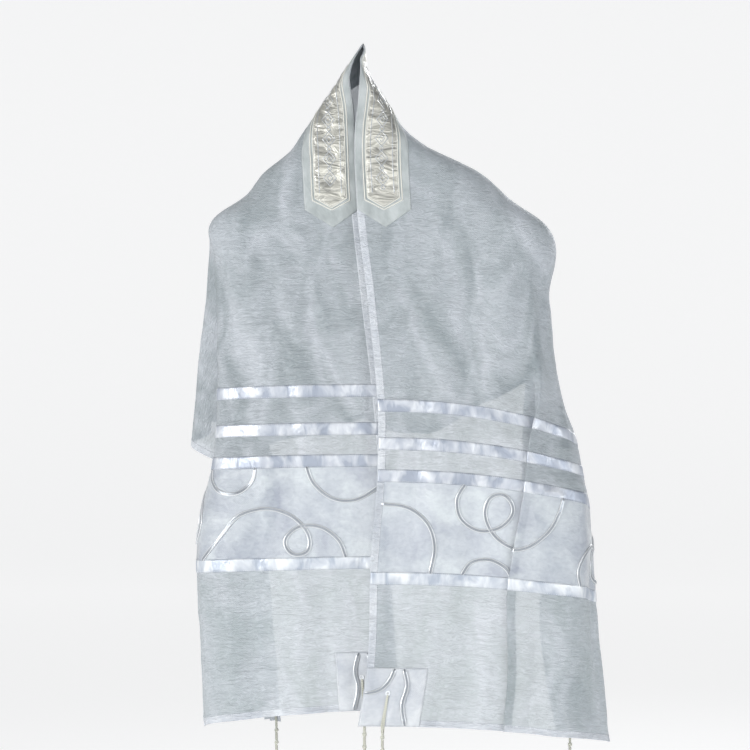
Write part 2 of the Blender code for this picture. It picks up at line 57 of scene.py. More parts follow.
# Each half has tables keyed by their first column.
# edge: down, out, forward. side: down, out, back, sag. crease: down, across.
# fan: degrees round the shoulder corner from straight down to straight behind, inward and back per metre
halves = {
    -1: {
        "shoulder": 0.235, "spread": 0.07,
        "edge": ((0.00, 0.000, 0.000), (0.02, 0.011, 0.010), (0.04, 0.017, 0.018), (0.09, 0.012, 0.026),
                 (0.22, 0.006, 0.042), (0.35, -0.008, 0.050), (0.52, -0.027, 0.055), (0.73, -0.038, 0.058),
                 (0.90, -0.050, 0.058)),
        "side": ((0.000, 0.000, 0.000, 0.000), (0.035, 0.022, 0.000, 0.000), (0.080, 0.052, 0.000, 0.000),
                 (0.125, 0.085, 0.000, 0.000), (0.145, 0.099, 0.000, 0.000), (0.175, 0.135, 0.000, 0.000),
                 (0.208, 0.162, 0.000, 0.000), (0.235, 0.202, 0.000, 0.001), (0.290, 0.202, -0.003, 0.003),
                 (0.415, 0.198, -0.008, 0.006), (0.562, 0.204, -0.010, 0.006),
                 (0.650, 0.223, -0.010, 0.007), (0.750, 0.223, -0.010, 0.010),
                 (0.900, 0.215, -0.010, 0.027)),
        "crease": ((0.00, 0.180), (0.30, 0.205), (0.60, 0.225), (0.90, 0.250)),
        "fan": ((0, 0.000, 0.000), (3, 0.006, 0.048), (8, 0.050, 0.105), (13, 0.100, 0.115),
                (20, 0.140, 0.070), (32, 0.190, 0.056), (42, 0.208, 0.082), (50, 0.170, 0.124),
                (64, -0.055, 0.140), (70, -0.115, 0.162), (77, -0.050, 0.195), (90, 0.010, 0.205)),
    },
    1: {
        "shoulder": 0.238, "spread": 0.12,
        "edge": ((0.00, 0.000, 0.000), (0.02, 0.004, 0.012), (0.04, 0.004, 0.022), (0.09, -0.008, 0.034),
                 (0.22, -0.009, 0.054), (0.35, 0.006, 0.063), (0.52, 0.020, 0.068), (0.58, 0.019, 0.070),
                 (0.70, 0.010, 0.071), (0.84, 0.005, 0.071), (0.92, -0.007, 0.071)),
        "side": ((0.000, 0.000, 0.000, 0.000), (0.047, 0.011, 0.000, 0.000), (0.087, 0.036, 0.000, 0.000),
                 (0.127, 0.069, 0.000, 0.000), (0.144, 0.095, 0.000, 0.000), (0.168, 0.146, 0.000, 0.000),
                 (0.215, 0.208, 0.000, 0.002), (0.238, 0.245, 0.000, 0.006), (0.320, 0.254, -0.003, 0.030),
                 (0.410, 0.266, -0.006, 0.050), (0.489, 0.286, -0.008, 0.052),
                 (0.575, 0.304, -0.010, 0.042), (0.640, 0.312, -0.010, 0.036),
                 (0.737, 0.316, -0.010, 0.028), (0.920, 0.333, -0.010, 0.028)),
        "crease": ((0.00, 0.180), (0.30, 0.212), (0.47, 0.220), (0.60, 0.215), (0.74, 0.203),
                   (0.92, 0.213)),
        "fan": ((0, 0.000, 0.000), (3, 0.006, 0.048), (8, 0.055, 0.100), (13, 0.105, 0.100),
                (22, 0.150, 0.070), (36, 0.190, 0.075), (44, 0.195, 0.100), (53, 0.140, 0.125),
                (66, 0.055, 0.135), (72, 0.045, 0.155), (79, 0.070, 0.180), (90, 0.110, 0.195)),
    },
}

# The one pressed pleat of the right half: a Z in the cloth, opening above
pleat = {
    "overlap": 0.0135,
    "turnLength": 0.0062,  # cloth used by each of its two turns
    "opens": (0.36, 0.56),  # no pleat above the first level, all of it below the second
    "settles": 0.075,  # distance over which its height dies away on both sides
    "reach": 0.045,
    "fineWide": 0.018,  # how far the mesh is finer, to each side of it
}

# Folds: half, down and across at the start, down and across at the end, half width, rise. The first rows
# are the large ones; the rest are the soft drag lines from shoulder to collar and hem to hip
folds = (
    (-1, 0.24, 0.17, 0.46, 0.145, 0.022, 0.006), (-1, 0.29, 0.20, 0.62, 0.190, 0.022, -0.005),
    (-1, 0.26, 0.12, 0.55, 0.095, 0.022, 0.005), (-1, 0.52, 0.04, 0.89, 0.060, 0.020, -0.004),
    (-1, 0.60, 0.13, 0.93, 0.125, 0.022, 0.006), (-1, 0.66, 0.19, 0.93, 0.185, 0.018, -0.005),
    (-1, 0.50, 0.34, 0.93, 0.330, 0.020, 0.009), (-1, 0.45, 0.40, 0.93, 0.390, 0.020, -0.009),
    (-1, 0.50, 0.46, 0.93, 0.450, 0.020, 0.009), (-1, 0.11, 0.24, 0.13, 0.60, 0.030, 0.010),
    (-1, 0.165, 0.24, 0.175, 0.60, 0.028, -0.006), (1, 0.24, 0.20, 0.50, 0.150, 0.018, 0.006),
    (1, 0.27, 0.24, 0.60, 0.260, 0.020, -0.006), (1, 0.30, 0.10, 0.70, 0.080, 0.022, 0.006),
    (1, 0.55, 0.13, 0.93, 0.135, 0.022, -0.006), (1, 0.58, 0.29, 0.95, 0.285, 0.020, 0.006),
    (1, 0.60, 0.34, 0.95, 0.345, 0.018, -0.006), (1, 0.62, 0.45, 0.95, 0.455, 0.020, 0.008),
    (1, 0.11, 0.24, 0.12, 0.60, 0.030, 0.010), (1, 0.17, 0.24, 0.18, 0.60, 0.028, -0.009),
    (1, 0.00, 0.22, 0.00, 0.60, 0.034, 0.012),
    (-1, 0.20, 0.10, 0.38, 0.060, 0.010, 0.0022), (-1, 0.23, 0.15, 0.40, 0.110, 0.009, -0.0020),
    (-1, 0.25, 0.19, 0.36, 0.170, 0.008, 0.0024), (-1, 0.33, 0.03, 0.60, 0.028, 0.010, 0.0016),
    (-1, 0.40, 0.12, 0.70, 0.128, 0.009, -0.0016), (-1, 0.47, 0.17, 0.76, 0.160, 0.010, 0.0020),
    (-1, 0.70, 0.03, 0.93, 0.024, 0.009, 0.0018), (-1, 0.68, 0.09, 0.93, 0.094, 0.008, -0.0018),
    (-1, 0.72, 0.155, 0.93, 0.158, 0.007, 0.0020), (-1, 0.74, 0.215, 0.93, 0.222, 0.008, 0.0022),
    (1, 0.21, 0.12, 0.36, 0.080, 0.010, 0.0022), (1, 0.24, 0.17, 0.42, 0.120, 0.009, -0.0020),
    (1, 0.26, 0.22, 0.44, 0.215, 0.010, 0.0024), (1, 0.38, 0.05, 0.62, 0.052, 0.009, -0.0016),
    (1, 0.44, 0.12, 0.72, 0.115, 0.010, 0.0020), (1, 0.50, 0.18, 0.70, 0.176, 0.009, 0.0018),
    (1, 0.73, 0.05, 0.95, 0.042, 0.010, 0.0018), (1, 0.74, 0.10, 0.95, 0.104, 0.008, -0.0020),
    (1, 0.72, 0.165, 0.95, 0.160, 0.009, 0.0020), (1, 0.74, 0.25, 0.95, 0.255, 0.008, -0.0022),
    (-1, 0.36, 0.30, 0.80, 0.300, 0.012, 0.0030), (-1, 0.30, 0.43, 0.70, 0.430, 0.012, 0.0030),
    (1, 0.36, 0.31, 0.80, 0.310, 0.012, 0.0030), (1, 0.30, 0.40, 0.76, 0.400, 0.012, -0.0030),
    (-1, 0.05, 0.30, 0.10, 0.56, 0.014, 0.0035), (1, 0.06, 0.30, 0.07, 0.56, 0.014, -0.0035),
)
foldEnds = (0.35, 0.10)  # share of a fold's length over which it grows, and dies


def readTable(table, column, key):
    # a column at any key, on the cubic curve through the rows with slopes taken between their neighbours
    rows = np.array(table, float)
    keys, values = rows[:, 0], rows[:, column]
    slopes = np.gradient(values, keys)
    spot = np.clip(np.searchsorted(keys, key) - 1, 0, len(keys) - 2)
    length = keys[spot + 1] - keys[spot]
    share = np.clip((key - keys[spot]) / length, 0.0, 1.0)
    before = values[spot] + slopes[spot] * length * share * (1 - share) ** 2
    step = values[spot + 1] - values[spot]
    return before + step * share**2 * (3 - 2 * share) + slopes[spot + 1] * length * share**2 * (share - 1)


def ease(value):
    # 0 below 0, 1 above 1, an even S between
    held = np.clip(value, 0.0, 1.0)
    return held * held * (3 - 2 * held)


def easeOver(value, first, last):
    # the same S, from 0 at first to 1 at last
    return ease((value - first) / (last - first))


def pleatTables(strengths=25, steps=361):
    # A strip that turns back by an angle and forward again; its place is the running sum of the angle's
    # cosine along the lay and of its sine across it. One row for each strength, from flat to folded
    s = np.linspace(-pleat["reach"], pleat["reach"], steps)
    turn, half = pleat["turnLength"], pleat["overlap"] / 2
    rise = ease((s + half) / turn + 0.5) - ease((s - half) / turn + 0.5)
    angle = math.pi * np.linspace(0, 1, strengths)[:, None] * rise
    pitch = s[1] - s[0]
    lain = s[0] + np.cumsum(np.cos(angle), 1) * pitch
    height = np.cumsum(np.sin(angle), 1) * pitch
    return s, lain - s, height


pleatSpan, pleatShift, pleatHeight = pleatTables()


def pleatRead(table, strength, s):
    # the table at any strength and place, straight between its entries
    row = np.clip(strength, 0, 1) * (len(table) - 1)
    spot = np.clip(row.astype(int), 0, len(table) - 2)
    column = np.clip((s - pleatSpan[0]) / (pleatSpan[1] - pleatSpan[0]), 0, len(pleatSpan) - 1.001)
    at = column.astype(int)
    r, c = row - spot, column - at
    upper = table[spot, at] * (1 - c) + table[spot, at + 1] * c
    lower = table[spot + 1, at] * (1 - c) + table[spot + 1, at + 1] * c
    return upper * (1 - r) + lower * r


def halfPlace(sign, down, across):
    # The front lies flat, rounds back at its side, and past the side falls down the back above the
    # shoulder corner, or fans round that corner below it, folding as the fan's rows say
    half = halves[sign]
    edgeOut, edgeBack = readTable(half["edge"], 1, down), -readTable(half["edge"], 2, down)
    sideOut, sideBack = readTable(half["side"], 1, down), readTable(half["side"], 2, down)
    sag = readTable(half["side"], 3, down)
    laid, raised = across, 0.0
    if sign > 0:
        strength = easeOver(down, *pleat["opens"])
        s = across - readTable(half["crease"], 1, down)
        laid = across + pleatRead(pleatShift, strength, s)
        height = pleatRead(pleatHeight, strength, s)
        full = pleatRead(pleatHeight, strength, np.full_like(s, pleat["reach"]))
        settle = np.exp(-np.maximum(np.abs(s) - pleat["overlap"], 0) / pleat["settles"])
        raised = (height - full / 2) * settle

    span = np.maximum(sideOut - edgeOut, 1e-4)
    depth = sideBack - edgeBack
    corner = np.minimum(hang["cornerShare"] * span, hang["cornerMost"])
    flat = span - corner
    arc = math.pi / 2 * np.sqrt((corner**2 + depth**2) / 2)
    turn = np.clip((laid - flat) / arc, 0.0, 1.0) * math.pi / 2
    out = edgeOut + np.minimum(laid, flat) + corner * np.sin(turn)
    back = edgeBack + depth * (1 - np.cos(turn)) - raised
    low = down + sag * np.clip(laid / (flat + arc), 0.0, 1.0) ** hang["sagPower"]

    beyond = np.maximum(laid - flat - arc, 0.0)
    pastShoulder = down - half["shoulder"]
    past = (pastShoulder + np.hypot(pastShoulder, hang["shoulderSoft"])) / 2
    reach = np.hypot(past, beyond)
    turned = np.degrees(np.arctan2(beyond, np.maximum(past, 1e-9)))
    openShare = easeOver(reach, hang["fanStart"], hang["fanFull"])
    plain = turned / 90
    inwardLast, backLast = half["fan"][-1][1:]
    inward = plain * inwardLast + openShare * (readTable(half["fan"], 1, turned) - plain * inwardLast)
    backward = plain * backLast + openShare * (readTable(half["fan"], 2, turned) - plain * backLast)
    roll = hang["roll"] * (1 - np.exp(-beyond / hang["roll"])) * plain
    crown = down * np.maximum(1 - down / half["shoulder"], 0.0) * (1 - np.exp(-beyond / hang["crownRoll"]))
    fall = 1 - (1 - hang["fallLeast"]) * easeOver(down, hang["fallFrom"], hang["fallTo"])
    centred = np.clip(down / half["shoulder"], 0.0, 1.0)
    spread = half["spread"] * np.sin(math.pi * centred)
    out = out - reach * (inward * centred - spread)
    back = back + reach * backward + roll + crown * backLast
    low = low + (reach - past) * fall - roll
    return np.stack([sign * out, back, -low], -1)


def basePlace(along, across):
    # one half's place or the other's, by the side of the peak that the point is on
    if np.all(along < 0) or np.all(along >= 0):
        return halfPlace(-1 if along.flat[0] < 0 else 1, np.abs(along), across)
    left, right = halfPlace(-1, np.abs(along), across), halfPlace(1, np.abs(along), across)
    return np.where((along < 0)[..., None], left, right)


def facing(place, along, across, step=0.0012):
    # outward direction: the cross product of how the place moves along and across
    downRun = place(along + step, across) - place(along - step, across)
    sideRun = place(along, across + step) - place(along, across - step)
    outward = np.cross(downRun, sideRun)
    return outward / np.maximum(np.linalg.norm(outward, axis=-1, keepdims=True), 1e-12)


def foldRise(along, across):
    # each fold is a bell across its own line, eased to nothing at its ends
    total = np.zeros_like(along)
    for half, downA, acrossA, downB, acrossB, halfWidth, rise in folds:
        start = np.array([half * downA, acrossA])
        run = np.array([half * downB, acrossB]) - start
        length = math.hypot(*run)
        gone = ((along - start[0]) * run[0] + (across - start[1]) * run[1]) / length
        aside = ((along - start[0]) * run[1] - (across - start[1]) * run[0]) / length
        ends = ease(gone / (foldEnds[0] * length)) * ease((length - gone) / (foldEnds[1] * length))
        total += rise * ends * np.exp(-((aside / halfWidth) ** 2))
    return total


def valueNoise(x, y, seed):
    # random values on a unit lattice, eased between: a smooth uneven field from -1 to 1
    rng = np.random.default_rng(seed)
    size = 512
    lattice = rng.uniform(-1, 1, (size, size))
    xi, yi = np.floor(x).astype(int), np.floor(y).astype(int)
    fx, fy = ease(x - xi), ease(y - yi)
    a, b = lattice[xi % size, yi % size], lattice[(xi + 1) % size, yi % size]
    c, d = lattice[xi % size, (yi + 1) % size], lattice[(xi + 1) % size, (yi + 1) % size]
    return (a * (1 - fx) + b * fx) * (1 - fy) + (c * (1 - fx) + d * fx) * fy


def lumps(along, across, size, seed, shift, moved=0.0):
    # value noise laid on the cut: size is the width and length of a lump, in metres
    return valueNoise(across / size[0] + shift, along / size[1] + moved + shift, seed)


# Gathers take up the cloth where the back hangs narrower than its cut
gathers = {
    "wave": 0.034, "most": 0.0052, "from": (0.30, 0.38), "below": (0.40, 0.56),
    "hem": (0.004, 0.05), "atHem": 0.35,  # how far in they ease, and their share at the hem itself
    "shift": 0.9, "shiftSize": (0.11, 0.24), "weaker": 0.28, "weakerSize": (0.05, 0.20),
}


def gatherRise(along, across):
    # A wave across the cut: where the lay is a share c of the cut's width, a wave of slope
    # sqrt(2 (1 - c^2)) uses the rest. Slow noise shifts and weakens it, so that no two gathers match
    step = 0.006
    run = basePlace(along, across + step) - basePlace(along, across - step)
    share = np.clip(np.linalg.norm(run, axis=-1) / (2 * step), 0.0, 1.0)
    shift = gathers["shift"] * lumps(along, across, gathers["shiftSize"], 21, 200)
    weaker = gathers["weaker"]
    strong = 1 - weaker + weaker * lumps(along, across, gathers["weakerSize"], 22, 220)
    full = gathers["wave"] / (2 * math.pi) * np.sqrt(2 * (1 - share**2)) * strong
    where = easeOver(across, *gathers["from"]) * easeOver(np.abs(along), *gathers["below"])
    fromHem = easeOver(cloth["width"] - across, *gathers["hem"])
    where = where * (gathers["atHem"] + (1 - gathers["atHem"]) * fromHem)
    turns = across / gathers["wave"] + shift
    return where * np.minimum(full, gathers["most"]) * np.sin(2 * math.pi * turns)


# Just under the peak the edge of one half leans over the opening and narrows it
lean = {"most": 0.0085, "from": (0.006, 0.024), "to": (0.040, 0.095), "inward": 0.055}


def leanOver(along, across):
    # most in a short stretch under the peak, dying away above, below and inward from the edge
    down = easeOver(along, *lean["from"]) * (1 - easeOver(along, *lean["to"]))
    return lean["most"] * down * (1 - ease(across / lean["inward"]))


def clothPlace(along, across):
    # the base surface moved out by the folds and gathers, in a direction taken wide enough to be smooth
    wide = facing(basePlace, along, across, 0.005)
    raised = foldRise(along, across) + gatherRise(along, across)
    place = basePlace(along, across) + raised[..., None] * wide
    return place - leanOver(along, across)[..., None] * np.array([1.0, 0.0, 0.0])


def bareMesh(name, points, faceSets, uv, material):
    # points (n, 3), faces as arrays of quads or of triangles, and uv (n, 2) in metres of cloth
    mesh = bpy.data.meshes.new(name)
    mesh.vertices.add(len(points))
    mesh.vertices.foreach_set("co", np.ascontiguousarray(points, np.float32).ravel())
    corners = np.concatenate([faces.ravel() for faces in faceSets])
    sizes = np.concatenate([np.full(len(faces), faces.shape[1]) for faces in faceSets])
    mesh.loops.add(len(corners))
    mesh.loops.foreach_set("vertex_index", corners.astype(np.int32))
    mesh.polygons.add(len(sizes))
    mesh.polygons.foreach_set("loop_start", (np.cumsum(sizes) - sizes).astype(np.int32))
    mesh.update(calc_edges=True)
    layer = mesh.uv_layers.new(name="cut")
    layer.data.foreach_set("uv", np.ascontiguousarray(uv[corners], np.float32).ravel())
    mesh.polygons.foreach_set("use_smooth", np.full(len(sizes), True))
    mesh.materials.append(material)
    piece = bpy.data.objects.new(name, mesh)
    bpy.context.scene.collection.objects.link(piece)
    return piece


def meshFrom(name, points, faceSets, uv, material):
    # a mesh that rides on the one body
    piece = bareMesh(name, points, faceSets, uv, material)
    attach(piece, "root")
    return piece


def gridQuads(rows, columns):
    # rows run along the cut and columns across it, so these quads face outwards
    number = np.arange(rows * columns).reshape(rows, columns)
    quads = np.stack([number[:-1, :-1], number[1:, :-1], number[1:, 1:], number[:-1, 1:]], -1)
    return quads.reshape(-1, 4)


def sheetMesh(name, points, along, across, material):
    # one open layer of cloth, its pattern laid out by the cut
    uv = np.stack([across, along], -1).reshape(-1, 2)
    return meshFrom(name, points.reshape(-1, 3), [gridQuads(*along.shape)], uv, material)


def shellMesh(name, outer, inner, along, across, material):
    # a closed shell: the outer grid, the inner grid turned round, and a strip of quads round the rim
    rows, columns = along.shape
    front = gridQuads(rows, columns)
    number = np.arange(rows * columns).reshape(rows, columns)
    rim = np.concatenate([number[:, 0], number[-1, 1:], number[-2::-1, -1], number[0, -2::-1]])
    a, b, below = rim[:-1], rim[1:], rows * columns
    faces = np.concatenate([front, front[:, ::-1] + below, np.stack([b, a, a + below, b + below], 1)])
    uv = np.tile(np.stack([across, along], -1).reshape(-1, 2), (2, 1))
    points = np.concatenate([outer.reshape(-1, 3), inner.reshape(-1, 3)])
    return meshFrom(name, points, [faces], uv, material)


def lengthsAlong(points):
    # the running length of a path at each of its points
    return np.concatenate([[0], np.cumsum(np.linalg.norm(np.diff(points, axis=0), axis=1))])


def smoothPath(points, count):
    # a Catmull-Rom curve: between two points a cubic, whose slopes come from the points on either side
    knots = np.array(points, float)
    padded = np.concatenate([[2 * knots[0] - knots[1]], knots, [2 * knots[-1] - knots[-2]]])
    t = np.linspace(0, len(knots) - 1.000001, count)
    i = t.astype(int)
    f = (t - i)[:, None]
    p0, p1, p2, p3 = padded[i], padded[i + 1], padded[i + 2], padded[i + 3]
    bend = (2 * p0 - 5 * p1 + 4 * p2 - p3) * f**2 + (3 * p1 - p0 - 3 * p2 + p3) * f**3
    return 0.5 * (2 * p1 + (p2 - p0) * f + bend)


def evenly(points, pitch):
    # points at an even pitch along the path's own length
    gone = lengthsAlong(points)
    at = np.linspace(0, gone[-1], max(3, int(round(gone[-1] / pitch)) + 1))
    return np.stack([np.interp(at, gone, points[:, k]) for k in range(points.shape[1])], 1)


def tubeFaces(rings, sides):
    # quads from each ring to the next, and a fan of triangles from the first and last to a middle point
    number = np.arange(rings * sides).reshape(rings, sides)
    after = np.roll(number, -1, 1)
    body = np.stack([number[:-1], after[:-1], after[1:], number[1:]], -1).reshape(-1, 4)
    tip = np.full(sides, rings * sides)
    first = np.stack([number[0], tip, after[0]], -1)
    last = np.stack([after[-1], tip + 1, number[-1]], -1)
    return body, np.concatenate([first, last])


def tubeParts(centres, side, wide, tall, sides=8, lobes=0, turns=0.0, deep=0.0):
    # A ring round each centre of a path: its width times the cosine along side, and its height times the
    # sine square to side and to the path. Lobes swell it, turning so many times a metre as in plied thread
    run = np.gradient(centres, axis=0)
    run /= np.maximum(np.linalg.norm(run, axis=1, keepdims=True), 1e-12)
    side = side - run * (side * run).sum(1, keepdims=True)
    side /= np.maximum(np.linalg.norm(side, axis=1, keepdims=True), 1e-12)
    front = np.cross(run, side)
    angle = 2 * math.pi * np.arange(sides) / sides
    gone = lengthsAlong(centres)
    swell = 1 + deep * np.cos(lobes * angle[None] + 2 * math.pi * turns * gone[:, None])
    wide = np.broadcast_to(wide, len(centres))[:, None] * np.cos(angle)[None] * swell
    tall = np.broadcast_to(tall, len(centres))[:, None] * np.sin(angle)[None] * swell
    rings = centres[:, None] + wide[..., None] * side[:, None] + tall[..., None] * front[:, None]
    body, caps = tubeFaces(len(centres), sides)
    points = np.concatenate([rings.reshape(-1, 3), centres[:1], centres[-1:]])
    around = np.tile(angle / (2 * math.pi), len(centres))
    uv = np.stack([around, np.repeat(gone, sides)], -1)
    uv = np.concatenate([uv, [[0.5, 0.0], [0.5, gone[-1]]]])
    return points, body, caps, uv


def joinedTubes(name, tubes, material):
    # several tubes in one mesh, each one's faces counted on from the points before it
    points, quads, triangles, uvs, start = [], [], [], [], 0
    for tubePoints, body, caps, uv in tubes:
        points.append(tubePoints)
        quads.append(body + start)
        triangles.append(caps + start)
        uvs.append(uv)
        start += len(tubePoints)
    faces = [np.concatenate(quads), np.concatenate(triangles)]
    return meshFrom(name, np.concatenate(points), faces, np.concatenate(uvs), material)


# Materials

def fromHex(text):
    # sRGB hex to the linear values that shaders take
    shown = np.array([int(text[i:i + 2], 16) for i in (1, 3, 5)]) / 255
    linear = np.where(shown <= 0.04045, shown / 12.92, ((shown + 0.055) / 1.055) ** 2.4)
    return (*linear.tolist(), 1.0)


def addNode(tree, kind, settings=None, links=None):
    # settings name a socket or, failing that, a property; links name a socket and what feeds it
    node = tree.nodes.new(kind)
    for key, value in (settings or {}).items():
        if not isinstance(key, str) or key in node.inputs:
            node.inputs[key].default_value = value
        else:
            setattr(node, key, value)
    for key, source in (links or {}).items():
        tree.links.new(source, node.inputs[key])
    return node


def clothTree(name):
    # an empty material and the tree to build it in
    made = bpy.data.materials.new(name)
    made.use_nodes = True
    tree = made.node_tree
    tree.nodes.clear()
    return made, tree


def stretchedNoise(tree, size, seed, detail=2.0, warp=0.0):
    # noise on the cut's own lengths: size is the width and length of a lump, in metres
    cut = addNode(tree, "ShaderNodeUVMap", {"uv_map": "cut"})
    mapped = addNode(tree, "ShaderNodeMapping",
                     {"Scale": (1 / size[0], 1 / size[1], 1), "Location": (seed * 3.7, seed * 5.3, 0)},
                     {"Vector": cut.outputs[0]})
    return addNode(tree, "ShaderNodeTexNoise",
                   {"noise_dimensions": "2D", "Scale": 1.0, "Detail": detail, "Roughness": 0.55,
                    "Distortion": warp}, {"Vector": mapped.outputs[0]}).outputs[0]


def cutLengths(tree):
    # how far across the cut and along it, in metres, or round a thread and along it
    cut = addNode(tree, "ShaderNodeUVMap", {"uv_map": "cut"})
    return addNode(tree, "ShaderNodeSeparateXYZ", links={0: cut.outputs[0]})


def threads(tree, pitch):
    # plain weave: a sine across the cut times a sine along it, one wave to every second thread
    waves = []
    split = cutLengths(tree)
    for axis in (0, 1):
        phase = addNode(tree, "ShaderNodeMath", {"operation": "MULTIPLY", 1: math.pi / pitch},
                        {0: split.outputs[axis]})
        waves.append(addNode(tree, "ShaderNodeMath", {"operation": "SINE"}, {0: phase.outputs[0]}))
    return addNode(tree, "ShaderNodeMath", {"operation": "MULTIPLY"},
                   {0: waves[0].outputs[0], 1: waves[1].outputs[0]}).outputs[0]


def blend(tree, a, b, shareA, shareB):
    # shareA times a plus shareB times b
    first = addNode(tree, "ShaderNodeMath", {"operation": "MULTIPLY", 1: shareA}, {0: a})
    second = addNode(tree, "ShaderNodeMath", {"operation": "MULTIPLY_ADD", 1: shareB},
                     {0: b, 2: first.outputs[0]})
    return second.outputs[0]


def tones(tree, value, dark, light, low=0.3, high=0.7):
    # dark where the value is low, light where it is high, evenly blended between
    share = addNode(tree, "ShaderNodeMapRange", {"From Min": low, "From Max": high}, {"Value": value})
    return addNode(tree, "ShaderNodeMix", {"data_type": "RGBA", 6: fromHex(dark), 7: fromHex(light)},
                   {0: share.outputs[0]}).outputs[2]


def finishCloth(tree, colour, height, depth, shine, cover=None, through=0.0):
    # A principled cloth with its relief; through is the share of light that glows through to the far
    # side. Cover is a pattern and the shares of the cloth that are thread at its low and high ends; the
    # rest is open mesh
    relief = addNode(tree, "ShaderNodeBump", {"Strength": 1.0, "Distance": depth}, {"Height": height})
    shader = addNode(tree, "ShaderNodeBsdfPrincipled", shine,
                     {"Base Color": colour, "Normal": relief.outputs[0]}).outputs[0]
    if through:
        glow = addNode(tree, "ShaderNodeBsdfTranslucent", None,
                       {"Color": colour, "Normal": relief.outputs[0]})
        shader = addNode(tree, "ShaderNodeMixShader", {0: through},
                         {1: shader, 2: glow.outputs[0]}).outputs[0]
    if cover is not None:
        pattern, open, dense = cover
        share = addNode(tree, "ShaderNodeMapRange",
                        {"From Min": 0.3, "From Max": 0.7, "To Min": open, "To Max": dense},
                        {"Value": pattern})
        gaps = addNode(tree, "ShaderNodeBsdfTransparent")
        shader = addNode(tree, "ShaderNodeMixShader", None,
                         {0: share.outputs[0], 1: gaps.outputs[0], 2: shader}).outputs[0]
    addNode(tree, "ShaderNodeOutputMaterial", None, {0: shader})


def crinkledVoile(name, dark, light, open, dense, through, patchy=0.55):
    # Polyester voile, woven open and heat-crinkled: a soft grey veil with fine uneven creases across the
    # cloth, denser where they bunch. Threads are 0.4 mm apart, drawn at 1.4 mm to show
    made, tree = clothTree(name)
    crinkle = stretchedNoise(tree, (0.017, 0.0046), 1, 4.0, 2.4)
    broad = stretchedNoise(tree, (0.052, 0.095), 2, 2.0, 0.6)
    weave = threads(tree, 0.0014)
    mixed = blend(tree, crinkle, broad, 1 - patchy, patchy)
    colour = tones(tree, mixed, dark, light)
    cover = (blend(tree, mixed, weave, 1.0, 0.05), open, dense)
    finishCloth(tree, colour, blend(tree, crinkle, weave, 1.0, 0.08), 0.0018,
                {"Roughness": 0.55, "Sheen Weight": 0.30, "Sheen Roughness": 0.35,
                 "Specular IOR Level": 0.45}, cover, through)
    return made


def crispOrganza(name, dark, light, open, dense):
    # Organza, filament yarn woven crisp: glassy, mottled with watered patches that catch the light
    made, tree = clothTree(name)
    mottle = stretchedNoise(tree, (0.007, 0.005), 3, 6.0, 0.3)
    broad = stretchedNoise(tree, (0.06, 0.05), 4, 2.0, 0.5)
    weave = threads(tree, 0.0013)
    mixed = blend(tree, mottle, broad, 0.3, 0.7)
    colour = tones(tree, mixed, dark, light)
    finishCloth(tree, colour, blend(tree, mottle, weave, 1.0, 0.12), 0.0009,
                {"Roughness": 0.34, "Sheen Weight": 1.0, "Sheen Roughness": 0.45, "Anisotropic": 0.4,
                 "Specular IOR Level": 0.8}, (mixed, open, dense), 0.15)
    return made


def ribbonSatin(name, dark, light):
    # Double-faced polyester satin: long floats along the ribbon give a bright gloss; its colour is painted
    # cool and darker in its dents as shade
    made, tree = clothTree(name)
    streak = stretchedNoise(tree, (0.012, 0.0008), 5, 2.0)
    dentReliefAndShade = stretchedNoise(tree, (0.020, 0.040), 6, 3.0, 0.3)
    # painted shade: the colour is darker where the dents sink
    colour = tones(tree, dentReliefAndShade, dark, light, 0.36, 0.68)
    finishCloth(tree, colour, blend(tree, dentReliefAndShade, streak, 1.0, 0.04), 0.0022,
                {"Roughness": 0.38, "Anisotropic": 0.5, "Specular IOR Level": 0.6, "Metallic": 0.20},
                None, 0.10)
    return made


def collarPoplin():
    # Closely woven cotton and polyester: matt off-white, opaque, with a fine plain weave
    made, tree = clothTree("collarPoplin")
    weave = threads(tree, 0.0010)
    broad = stretchedNoise(tree, (0.020, 0.030), 7, 3.0)
    colour = tones(tree, broad, "#92999A", "#AEB4B5")
    finishCloth(tree, colour, blend(tree, broad, weave, 1.0, 0.06), 0.0012,
                {"Roughness": 0.6, "Sheen Weight": 0.3, "Specular IOR Level": 0.35})
    return made


def creamSatin():
    # Heavier acetate satin: cream, glossy, with the soft dents of a stitched and stiffened panel, and
    # painted shade that darkens its colour in the dents
    made, tree = clothTree("creamSatin")
    dentReliefAndShade = stretchedNoise(tree, (0.026, 0.011), 8, 3.0, 0.8)
    # painted shade: the colour is darker where the dents sink
    colour = tones(tree, dentReliefAndShade, "#959590", "#D0CFC6")
    streak = stretchedNoise(tree, (0.0007, 0.012), 9, 2.0)
    finishCloth(tree, colour, blend(tree, dentReliefAndShade, streak, 1.0, 0.03), 0.0030,
                {"Roughness": 0.36, "Anisotropic": 0.5, "Specular IOR Level": 0.7, "Metallic": 0.42})
    return made


def plainThread(name, dark, light, turns, shine, depth=0.0006):
    # Plied thread: plies that slant round it, with painted shade darkening the grooves where they meet,
    # with turns to the metre
    made, tree = clothTree(name)
    split = cutLengths(tree)
    length = addNode(tree, "ShaderNodeMath", {"operation": "MULTIPLY", 1: turns}, {0: split.outputs[1]})
    slant = addNode(tree, "ShaderNodeMath", {"operation": "MULTIPLY_ADD", 1: 2.0},
                    {0: split.outputs[0], 2: length.outputs[0]})
    wave = addNode(tree, "ShaderNodeMath", {"operation": "PINGPONG", 1: 0.5}, {0: slant.outputs[0]})
    plies = wave.outputs[0]
    finishCloth(tree, tones(tree, plies, dark, light, 0, 0.5), plies, depth, shine)
    return made


